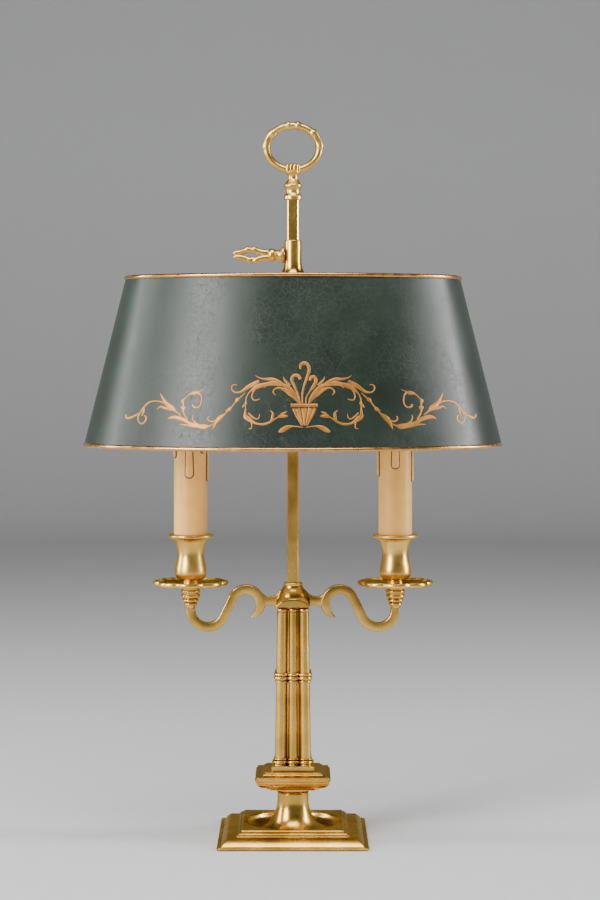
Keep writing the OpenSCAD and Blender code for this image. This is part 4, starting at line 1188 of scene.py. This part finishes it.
class LAMP_OT_shade(bpy.types.Operator):
    """Roll the oval metal shade, lacquered outside and cream inside."""
    bl_idname = "lamp.shade"
    bl_label = "Shade"

    def execute(self, context):
        oval = Oval()
        levels = [oval.base + oval.height * i / 24 for i in range(25)]
        rings = [oval.ring(oval.wall(z) + HALF_SHEET, z) for z in levels]
        rings += [oval.ring(oval.wall(z) - HALF_SHEET, z) for z in reversed(levels)]
        shell = make_mesh("shade_sheet", loft(rings, closed=True), 60)
        finished(shell, "lacquer", "shade", "shade_shell")
        shell.data.materials.append(FINISHES["lining"])
        for face in shell.data.polygons:
            spot, out = face.center, face.normal
            if spot.x * out.x + spot.y * out.y < 0:
                face.material_index = 1
        return {"FINISHED"}


class LAMP_OT_rims(bpy.types.Operator):
    """Roll the gilt beads round the shade's two edges."""
    bl_idname = "lamp.rims"
    bl_label = "Shade rims"

    def execute(self, context):
        oval, tree = Oval(), bead_tree()
        for name, node in (("rim_upper", "shade_rim_top"), ("rim_lower", "shade_rim_bottom")):
            low, high = node_box(node)
            z = high[2] - RIM_BEAD if name == "rim_upper" else low[2] + RIM_BEAD
            rim = path_object(name, [oval.ring(high[0] - RIM_BEAD - oval.centre_x, z)])
            grown(rim, tree, "rim", 60, bead_radius=RIM_BEAD)
            finished(rim, "rim", "shade", node)
        return {"FINISHED"}


# Strokes of the right half of the ornament as (across, up, half width) in millimetres, from the
# middle of the urn's foot. The left half is their mirror image.
SCROLL_STROKES = [
    # leaf from the urn, running on as the stem of the first scroll
    [(3.7, 17.2, 0.6), (6, 21.4, 1.9), (9.5, 25.9, 2.3), (12.6, 29.3, 1.7), (16.5, 31.5, 1.1),
     (23.4, 32.7, 1.3), (28.5, 31.7, 1.3), (31.5, 30.9, 1.6), (34.5, 30, 1.8), (37.5, 28.2, 1.2),
     (40.5, 25.6, 0.55), (42.6, 22.1, 0.45), (43.5, 17.8, 0.45), (43.5, 13.5, 0.45),
     (43.5, 10.5, 0.7)],
    [(16.1, 32.2, 0.8), (19.9, 34, 1.3), (24.2, 35.5, 1.2), (29.4, 35.6, 0.8), (33.2, 36.4, 0.5),
     (36.2, 38.3, 0.15)],
    [(16.5, 30.6, 0.5), (22.5, 31.3, 0.8), (27.6, 30.9, 0.7), (30.2, 28.7, 0.2)],
    [(10.5, 30.6, 1.0), (13.1, 33.2, 0.95), (14.8, 35.3, 0.6), (15.4, 37.5, 0.15)],
    [(5.4, 20.5, 1.0), (10.1, 23.9, 1.4), (14.4, 27.2, 1.1), (18.2, 28.9, 0.8), (21.7, 28, 0.6),
     (22.9, 25.4, 0.55), (21.2, 23.3, 0.3)],
    # leaf that ends in the upper curl
    [(33.6, 34.3, 1.0), (37.1, 32, 1.7), (41.3, 29.8, 1.6), (44.8, 27.2, 1.2), (48.2, 25.5, 0.8),
     (52, 25.6, 0.5), (54, 28.4, 0.45), (52.9, 31, 0.45), (50.1, 31.2, 0.35)],
    [(35.8, 29, 1.0), (37.9, 25.6, 0.6), (38.8, 22.2, 0.5), (37.5, 19.6, 0.45), (34.5, 19.8, 0.4),
     (33, 20.6, 0.25)],
    # bud on the first scroll's stem
    [(43.3, 19, 0.4), (43.3, 17, 1.0), (43.7, 15.5, 0.4)],
    [(43.6, 16.8, 0.5), (44.8, 15.4, 0.8), (46, 13.8, 0.25)],
    # lower leaf and the foot of the first scroll
    [(43.5, 11.5, 0.6), (43.5, 7.1, 1.6), (40.9, 5.1, 1.7), (37.9, 2.9, 1.0), (34.5, 1.6, 0.75),
     (30.2, 1.3, 0.85), (25.9, 2.7, 0.85), (22.5, 4.8, 0.6), (19.5, 6.6, 0.5)],
    [(41.4, 9.8, 0.6), (38.8, 7.2, 0.65), (35.8, 5.3, 0.5), (33.6, 6, 0.4), (33, 9, 0.2)],
    [(39.2, 3.4, 0.6), (38.8, 0.4, 0.4), (39.2, -2, 0.4), (41.3, -2, 0.2)],
    [(19.8, 6.6, 0.5), (16.5, 7.3, 1.1), (13.8, 7.5, 0.9), (12, 7.4, 0.2)],
    [(19.8, 6.6, 0.4), (16.3, 9.1, 0.9), (14.2, 10.2, 0.7), (12.5, 10.9, 0.15)],
    [(24.2, 4, 0.9), (23.3, 7.4, 1.1), (23.4, 10, 0.7), (25.5, 11.7, 0.2)],
    # chain of buds to the second scroll
    [(43.8, 25, 0.4), (47.3, 21.7, 0.5), (49.9, 19.4, 0.5), (53.8, 14.3, 0.5), (55.5, 12.4, 0.45),
     (57.2, 10.4, 0.45), (60, 7.6, 0.7)],
    [(48.2, 21, 0.5), (49.6, 19.8, 1.5), (51, 18, 0.5)],
    [(54.2, 14.2, 0.5), (55.4, 12.6, 1.4), (57.4, 11.6, 0.6), (58.6, 11.4, 0.15)],
    [(58.8, 8.9, 0.6), (62.4, 6, 1.9), (65.4, 2.2, 1.3), (66.7, -0.5, 0.7), (67.8, -2.8, 0.15)],
    [(65.2, 4.3, 0.7), (68.6, 3, 0.65), (71.4, 4.3, 0.5), (71.4, 6.4, 0.5), (70.4, 6.9, 0.2)],
    # long leaf under the second scroll
    [(66.5, 1.6, 0.4), (70.5, -0.2, 0.7), (74, -0.8, 2.0), (79, -0.2, 1.8), (86, 1.9, 1.3),
     (90.4, 4.5, 1.6), (96.4, 6.2, 1.6), (100.6, 5.5, 0.8), (102.2, 4.3, 0.15)],
    [(80.5, -1, 1.0), (88, 0.4, 0.8), (93.8, 0.4, 0.15)],
    [(79.5, 0.9, 1.0), (82.2, 3, 0.55), (83.3, 5.7, 0.45), (83, 7.9, 0.15)],
    # second scroll
    [(87, 4, 0.5), (89.8, 8.9, 0.6), (90.4, 12.7, 0.9), (90.4, 16.5, 0.7), (90.7, 18.7, 0.9),
     (89.3, 20.3, 0.45), (86, 23.6, 0.5), (82.2, 24.8, 1.5), (78.9, 24.8, 0.9), (76.8, 22, 0.5),
     (76.8, 17.2, 0.5), (78.9, 14, 0.55), (82.2, 14, 0.75), (83.4, 16, 0.6)],
    [(88.4, 14.5, 0.3), (90.4, 12.6, 1.2), (92.4, 14.2, 0.3)],
    [(89.4, 20.4, 0.4), (90.8, 18.6, 1.4), (90.6, 16.4, 0.5)],
    [(82.4, 25.4, 0.7), (78.4, 26, 0.4), (74.6, 27.3, 0.12)],
    # blades of the last leaf
    [(92.4, 7.6, 0.5), (96, 10.4, 0.6), (99, 13.1, 2.0), (102.8, 15.8, 1.7), (106.1, 20.1, 0.9),
     (108.3, 24.4, 0.15)],
    [(98.6, 11.6, 0.8), (104.6, 13.1, 1.1), (107.8, 14.1, 0.7), (110.8, 12, 0.15)],
    [(102, 15.2, 0.9), (107, 17.6, 0.7), (112, 18.3, 0.65), (117, 17.2, 0.65), (121, 13.6, 0.6),
     (124, 9, 0.5), (125.6, 5, 0.5), (124.4, 1.5, 0.5), (122, 0.8, 0.55), (119.6, 3, 0.65),
     (119.3, 5.8, 0.7), (120.7, 7, 0.5)],
    [(121, 13.6, 0.4), (121.3, 10.2, 1.0), (122.6, 6.8, 0.3)],
    [(123.8, 9.2, 0.5), (128, 6.8, 0.65), (132, 5, 0.9), (134.7, 5, 0.8), (135.4, 7.4, 0.5)],
]

URN_STROKES = [
    # rim and its two ends
    [(-10.4, 15.6, 1.2), (-5, 15.6, 1.25), (5, 15.6, 1.25), (10.4, 15.6, 1.2)],
    # flutes of the body
    [(0, 13.4, 2.3), (0.1, 8, 1.5), (0.1, 0.4, 0.45)],
    [(-4.9, 13.4, 1.9), (-3.4, 8, 1.3), (-1.2, 0.4, 0.4)],
    [(4.9, 13.4, 1.9), (3.4, 8, 1.3), (1.3, 0.4, 0.4)],
    [(-8.2, 13.4, 1.0), (-5.9, 8, 0.9), (-2.2, 0.4, 0.3)],
    [(8.2, 13.4, 1.0), (5.9, 8, 0.9), (2.3, 0.4, 0.3)],
    # leaves under the foot
    [(1.2, -1, 0.3), (8.8, -0.2, 0.6), (13.1, -1.2, 1.6), (17, -3.2, 1.7), (19.6, -4.6, 0.5)],
    [(-1.2, -1, 0.3), (-8.8, -0.2, 0.6), (-13.1, -1.2, 1.6), (-17, -3.2, 1.7), (-19.6, -4.6, 0.5)],
    # plumes
    [(-1.4, 17, 0.5), (-1.5, 23.6, 0.6), (-0.2, 30.4, 0.8), (2, 36.8, 1.0), (3.7, 42.4, 1.1),
     (2.7, 46.5, 1.2), (-0.3, 47.9, 1.25), (-2.8, 46.2, 1.1), (-3, 43.2, 0.5)],
    [(-3.2, 17, 0.5), (-4.6, 23.5, 0.65), (-7.6, 30.4, 0.9), (-9.6, 35.3, 1.1), (-8.1, 38.2, 1.1),
     (-4.8, 38.2, 1.2), (-2.9, 35.6, 1.1)],
    [(1.1, 17, 0.45), (1.5, 21.4, 0.5), (4.1, 26.1, 0.7), (7.3, 30.4, 1.4), (8.9, 34, 1.3),
     (7.9, 37, 1.2), (5.4, 37, 1.2), (4.1, 34.4, 0.8)],
]

class LAMP_OT_ornament(bpy.types.Operator):
    """Paint the urn and scrollwork in raised gilt strokes on the shade."""
    bl_idname = "lamp.ornament"
    bl_label = "Gilt ornament"

    def execute(self, context):
        sizes = context.scene.lamp_sizes
        shift, relief = sizes.ornament_shift / MM, sizes.relief / MM
        oval = Oval()
        foot = bottom("shade_rim_bottom") + RIM_BEAD + sizes.ornament_rise / MM
        # The left half is a little wider than the right
        left = [[(-1.03 * x, z, w) for x, z, w in line] for line in SCROLL_STROKES]
        # Section of a stroke, as (across, height), and the depth of its root in the lacquer
        crown = ((-1, -0.15), (-0.86, 0.6), (-0.4, 0.95), (0, 1), (0.4, 0.95), (0.86, 0.6),
                 (1, -0.15))
        root, least, full = 0.2, 0.08, 0.4
        sheets = []
        for line in URN_STROKES + SCROLL_STROKES + left:
            track = spline(line, 5)
            rings = []
            for i, (x, z, width) in enumerate(track):
                along = heading(track, i)
                side = Vector((-along.y, along.x)).normalized()
                width = max(width, least)
                ring = []
                for across, lift in crown:
                    spot, normal = oval.front(x + side.x * across * width + shift,
                                              foot + z + side.y * across * width)
                    ring.append(tuple(spot + normal * relief * lift * min(1, width / full)))
                spot, normal = oval.front(x + shift, foot + z)
                rings.append([*ring, tuple(spot - normal * root)])
            sheets.append(loft(rings))
        points, faces = joined(*sheets)
        back = ([(-x, -y, z) for x, y, z in points], faces)
        gilding = make_mesh("gilt_scrollwork", joined((points, faces), back), 50)
        finished(gilding, "gilding", "shade")
        return {"FINISHED"}


def bar_hole(half, cut, z, count):
    """Chamfered square ring whose points pair with those of a circle."""
    points = []
    for x, y, _ in circle_ring(1, 0, count):
        r = min(half / max(abs(x), abs(y)), (2 * half - cut) / (abs(x) + abs(y)))
        points.append((r * x, r * y, z))
    return points


class LAMP_OT_carrier(bpy.types.Operator):
    """Turn the sliding collar and forge the four-armed carrier under the shade's top."""
    bl_idname = "lamp.carrier"
    bl_label = "Collar and carrier"

    def execute(self, context):
        _, _, base, height = span("shade_collar")
        low, high = node_box("shade_spider")
        seat, count = high[2], 96
        tail, tall = base - seat, base + height - seat
        neck, foot_r, flare_r = 6.9, 9.0, 12.0
        outer = [(foot_r, tail), (foot_r, 0), (flare_r, 0), (flare_r, 2.6)]
        outer += arc(15.2, 16, 15.2 - neck, 13.5, 246, 180, 24)
        outer += [(neck, tall - 0.5), (neck - 0.5, tall)]
        rings = [circle_ring(r, seat + z, count) for r, z in softened(outer, softness(context))]
        rings += [bar_hole(4.65, 0.9, seat + z, count) for z in (tall, tail)]
        collar = make_mesh("collar", loft(rings, closed=True), 35)
        finished(collar, "brass", "shade", "shade_collar")

        hoop_r, rod_r, start = 13.0, 1.8, 10
        hoop = [(foot_r + 0.1, low[2]), (hoop_r, low[2]), (hoop_r, high[2]),
                (foot_r + 0.1, high[2])]
        parts = [turning(softened(hoop, 0.8, True), closed=True)]
        level = (low[2] + high[2]) / 2
        for quarter, reach in enumerate((high[0], high[1], high[0], high[1])):
            rod = [(0, start), (rod_r, start), (rod_r, reach - 6), (2.0, reach - 3),
                   (rod_r, reach - 0.4), (0, reach - 0.4)]
            points, faces = turning(rod, count=32)
            parts.append(([turned(z, x, level + y, quarter) for x, y, z in points], faces))
        spider = make_mesh("carrier", joined(*parts), 35)
        finished(spider, "brass", "shade", "shade_spider")
        return {"FINISHED"}


# ---------- key and finial


def tube(track, count=20):
    """Round branch along (x, z, radius) points in the middle plane."""
    rings = []
    for i, (x, z, r) in enumerate(track):
        along = heading(track, i).normalized()
        rings.append([(x - along.y * r * c, r * s, z + along.x * r * c)
                      for c, s, _ in circle_ring(1, 0, count)])
    return loft(rings)


class LAMP_OT_key(bpy.types.Operator):
    """Cast the thumbscrew with its openwork branch handle."""
    bl_idname = "lamp.key"
    bl_label = "Key"

    def execute(self, context):
        low, high = node_box("key_screw")
        axis, tall = (low[2] + high[2]) / 2, (high[2] - low[2]) / 2
        foot, bell, waist = 7.2, 6.75, 3.8
        reach = -low[0] - foot
        body = [(0, 0), (bell - 1, 0), (bell - 0.3, 0.2), (bell, 0.8), (bell, 1.6)]
        body += arc(bell + 0.4, 6.2, bell + 0.4 - waist, 4.6, 260, 185, 18)
        body += [(4.4, 6.9), (4.2, 7.3), *arc(3.9, 9.9, 1.45, 2.6, 280, 440, 18)]
        body += [(3.6, 12.8), (0, 12.8)]
        shank = [(0, 0), (2.5, 0), (2.5, 4), (0, 4)]

        def lying(points, faces, start):
            """A turned shape laid down along the key's axis."""
            return [(-start - z, y, axis + x) for x, y, z in points], faces

        # The two branches, as (distance, height over the axis, radius), with a knuckle where
        # the height is greatest
        knuckle_z, knuckle_r = 4.6, 2.75
        upper = [(10.5, 1.9, 2.2), (16, 2.2, 2.4), (19.3, 2.8, 2.35), (22.2, 3.8, 2.4),
                 (24.4, knuckle_z, knuckle_r), (26.2, 4.4, 2.35), (28, 4.4, 2.35),
                 (29.8, knuckle_z, knuckle_r), (32, 3.7, 2.35), (34.5, 2.6, 2.25), (37, 2, 2.15),
                 (reach - 1.4, 1.9, 1.9), (reach - 0.3, 1.9, 1.2)]
        lower = [(10.5, 1.9, 2.2), (16, 2.3, 2.4), (19, 2.9, 2.4), (21.4, 3.8, 2.4),
                 (23.3, knuckle_z, knuckle_r), (25.7, 3.7, 1.95), (28, 4.5, 2.7),
                 (30.2, 3.6, 2.35), (33, 2.5, 2.25), (36, 1.9, 2.15), (reach - 1.9, 1.75, 1.9),
                 (reach - 0.8, 1.75, 1.2)]
        share = (tall - knuckle_r - 0.02) / knuckle_z
        branches = [tube([(-x - foot, axis + up * z * share, r) for x, z, r in spline(line, 5)])
                    for up, line in ((1, upper), (-1, lower))]
        handle = cast(make_mesh("key_handle", joined(*branches)), 0.28, 3)
        solid = joined(lying(*turning(body), foot), lying(*turning(shank, count=48), -high[0]))
        key = merged("key", [handle, make_mesh("key_body", solid)])
        finished(key, "gilt", "key", "key_screw")
        return {"FINISHED"}


def knot(angle, at, before, after):
    """Swelling that rises over one distance in degrees and falls over another."""
    off = (angle - at + 180) % 360 - 180
    return math.exp(-(off / (before if off < 0 else after)) ** 2)


def knots(angle, at, before, after):
    """The same swelling on both sides of the ring."""
    return knot(angle, at, before, after) + knot(angle, 180 - at, after, before)


class LAMP_OT_finial(bpy.types.Operator):
    """Cast the finial: turned foot, ribbed clasp and the branch-like carrying ring."""
    bl_idname = "lamp.finial"
    bl_label = "Finial"

    def execute(self, context):
        _, _, base, height = span("finial_clasp")
        bore, depth = 3.1, 12
        foot = [(bore, 0), (7.1, 0), (7.5, 0.3), (7.5, 1), *arc(10, 7, 4.4, 5, 235, 160, 18)]
        foot += arc(5.6, 11.3, 1.9, 1.9, 300, 420, 14) + arc(8.1, 18.2, 4.2, 4.6, 225, 175, 12)
        foot += [(4.1, 19.8), (4.7, 20.9), (5.5, 21.9), (5.7, 22.8), (4.4, 24), (0, 24),
                 (0, depth), (bore, depth)]
        outline = raised(softened(foot, softness(context), True), base)
        turned_foot = make_mesh("finial_foot", turning(outline, closed=True))
        # Four ribs side by side, each a bead round a squarish loop
        rise, rib, bead, squareness = 8.5, 2.85, 1.46, 0.4
        centre_z = base + height - rise / 2
        loops = [[(i * rib, 2.6 * math.copysign(abs(c) ** squareness, c),
                   centre_z + (rise / 2 - bead) * math.copysign(abs(s) ** squareness, s))
                  for c, s, _ in circle_ring(1, 0, 48)] for i in (-1.5, -0.5, 0.5, 1.5)]
        ribs = grown(path_object("clasp_ribs", loops), bead_tree(), "gilt", 60, bead_radius=bead)
        wide, deep, tall = rib * 1.7, 3.3, rise / 2 - 1
        corners = ((-wide, -deep), (wide, -deep), (wide, deep), (-wide, deep))
        core = loft([[(x, y, centre_z + z) for x, y in corners] for z in (-tall, tall)])
        clasp = merged("clasp", [turned_foot, ribs, make_mesh("clasp_core", core)])
        finished(clasp, "gilt", "finial", "finial_clasp")

        _, half, base, height = span("finial_ring")
        thick, tall = 3.3, 18
        wide = half - thick * 1.13
        middle = base + height - tall - thick * 1.1
        count, around = 216, 32
        track = []
        for i in range(count):
            angle = 360 * i / count - 90
            upper, crest = knots(angle, 42, 12, 3), knots(angle, 81, 6, 2.5)
            sides, flute = knots(angle, 2, 4, 12), 0.2 * knots(angle, 22, 12, 12)
            r = thick * (0.88 + 0.24 * upper + 0.22 * crest + 0.14 * sides)
            shift = thick * (0.07 * upper + 0.08 * crest + 0.09 * sides)
            a = math.radians(angle)
            out = Vector((math.cos(a) * tall, math.sin(a) * wide)).normalized()
            section = []
            for c, s, _ in circle_ring(1, 0, around):
                reach = r * (1 - flute * math.exp(-((abs(s) - 1) / 0.12) ** 2))
                across = shift + reach * c
                section.append((wide * math.cos(a) + out.x * across, reach * s,
                                middle + tall * math.sin(a) + out.y * across))
            track.append(section)
        ring = make_mesh("carrying_ring", loft(track, closed=True), 60)
        finished(ring, "gilt", "finial", "finial_ring")
        return {"FINISHED"}


# ---------- frame nodes that stay

KEPT_NODES = {
    "base_felt": "felt", "cord_bush": "bush", "tie_tube": "steel", "tie_washer": "steel",
    "tie_nut": "steel", "centre_rod": "brass", "wire": "flex", "candle_tube": "steel",
    "cup_nut": "steel", "lampholder": "holder", "bulb_cap": "cap",
}


class LAMP_OT_fittings(bpy.types.Operator):
    """Finish the bar and the inner fittings, whose frame shapes are already right."""
    bl_idname = "lamp.fittings"
    bl_label = "Bar and fittings"

    def execute(self, context):
        for name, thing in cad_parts.items():
            key = name.removesuffix("_left").removesuffix("_right")
            if key in KEPT_NODES:
                thing.data.materials.clear()
                thing.data.materials.append(FINISHES[KEPT_NODES[key]])
        return {"FINISHED"}


# ---------- studio, in metres

# Each light's place, the height it looks at, its width, height and power in watts
LIGHTS = {
    "key_light": ((-1.42, -1.27, 1.0), 0.3, 0.75, 1.3, 52),
    "edge_light": ((-1.85, 0.1, 0.8), 0.35, 0.3, 1.3, 24),
    "side_light": ((1.85, -0.02, 0.8), 0.35, 0.35, 1.4, 40),
    "top_light": ((0, -0.65, 1.75), 0, 1.2, 0.8, 24),
}
CAMERA_SPOT, LENS, SENSOR = (0.0057, -1.8257, 0.3896), 90, 36
# Shift of the lens as a share of the picture's height
SHIFT = -95 / 900
PAPER, AIR = (0.60, 0.61, 0.62), (0.075, 0.062, 0.05, 1)


class LAMP_OT_studio(bpy.types.Operator):
    """Set the pale sweep, the soft lights and the camera."""
    bl_idname = "lamp.studio"
    bl_label = "Studio"

    def execute(self, context):
        middle_r, flat_r, curve_r, wall_h = 0.5, 2.9, 0.9, 2.2
        profile = [(middle_r, 0.0), (flat_r, 0.0)]
        for a in (math.radians(angle) for angle in range(6, 91, 6)):
            profile.append((flat_r + curve_r * math.sin(a), curve_r - curve_r * math.cos(a)))
        profile.append((flat_r + curve_r, wall_h))
        points, faces = loft([circle_ring(r, z, 96) for r, z in profile])
        mesh = bpy.data.meshes.new("sweep")
        # The bowl stays open at its top, and its faces look inwards
        mesh.from_pydata(points, [], [face[::-1] for face in faces[:-1]])
        smooth(mesh)
        mesh.materials.append(plain_finish("pale_paper", PAPER, 0.8, 0, 90, 0.01, 0.01))
        placed("sweep", mesh)

        for name, (spot, aim, width, height, power) in LIGHTS.items():
            data = bpy.data.lights.new(name, "AREA")
            data.shape = "RECTANGLE"
            data.size, data.size_y, data.energy = width, height, power
            light = placed(name, data)
            light.location = spot
            away = Vector((0, 0, aim)) - Vector(spot)
            light.rotation_euler = away.to_track_quat("-Z", "Y").to_euler()

        world = bpy.data.worlds.new("studio_air")
        world.use_nodes = True
        world.node_tree.nodes["Background"].inputs["Color"].default_value = AIR
        world.node_tree.nodes["Background"].inputs["Strength"].default_value = 1.0
        context.scene.world = world

        data = bpy.data.cameras.new("camera")
        data.lens, data.sensor_width, data.shift_y = LENS, SENSOR, SHIFT
        camera = placed("camera", data)
        camera.location = CAMERA_SPOT
        camera.rotation_euler = (math.radians(90), 0, 0)
        context.scene.camera = camera
        return {"FINISHED"}


# ---------- panel and registration

STEPS = [
    LAMP_OT_finishes, LAMP_OT_foot, LAMP_OT_pedestal, LAMP_OT_column, LAMP_OT_hub, LAMP_OT_arms,
    LAMP_OT_ferrules, LAMP_OT_pans, LAMP_OT_cups, LAMP_OT_candles, LAMP_OT_bulbs, LAMP_OT_shade,
    LAMP_OT_rims, LAMP_OT_ornament, LAMP_OT_carrier, LAMP_OT_key, LAMP_OT_finial,
    LAMP_OT_fittings, LAMP_OT_studio,
]


class LAMP_PT_panel(bpy.types.Panel):
    """Lists the sizes, the finishes and the steps that build the lamp."""
    bl_idname = "LAMP_PT_panel"
    bl_label = "Bouillotte Lamp"
    bl_space_type = "VIEW_3D"
    bl_region_type = "UI"
    bl_category = "Lamp"

    def draw(self, context):
        layout = self.layout
        for group in (context.scene.lamp_sizes, context.scene.lamp_finish):
            box = layout.box()
            for name in group.bl_rna.properties.keys():
                if name not in ("rna_type", "name"):
                    box.prop(group, name)
        for step in STEPS:
            layout.operator(step.bl_idname)


CLASSES = [LampSizes, LampFinish, *STEPS, LAMP_PT_panel]


def register():
    for item in CLASSES:
        bpy.utils.register_class(item)
    bpy.types.Scene.lamp_sizes = bpy.props.PointerProperty(type=LampSizes)
    bpy.types.Scene.lamp_finish = bpy.props.PointerProperty(type=LampFinish)


def unregister():
    del bpy.types.Scene.lamp_finish
    del bpy.types.Scene.lamp_sizes
    for item in reversed(CLASSES):
        bpy.utils.unregister_class(item)


def main():
    register()
    for step in STEPS:
        group, name = step.bl_idname.split(".")
        getattr(getattr(bpy.ops, group), name)()


if __name__ == "__main__":
    main()
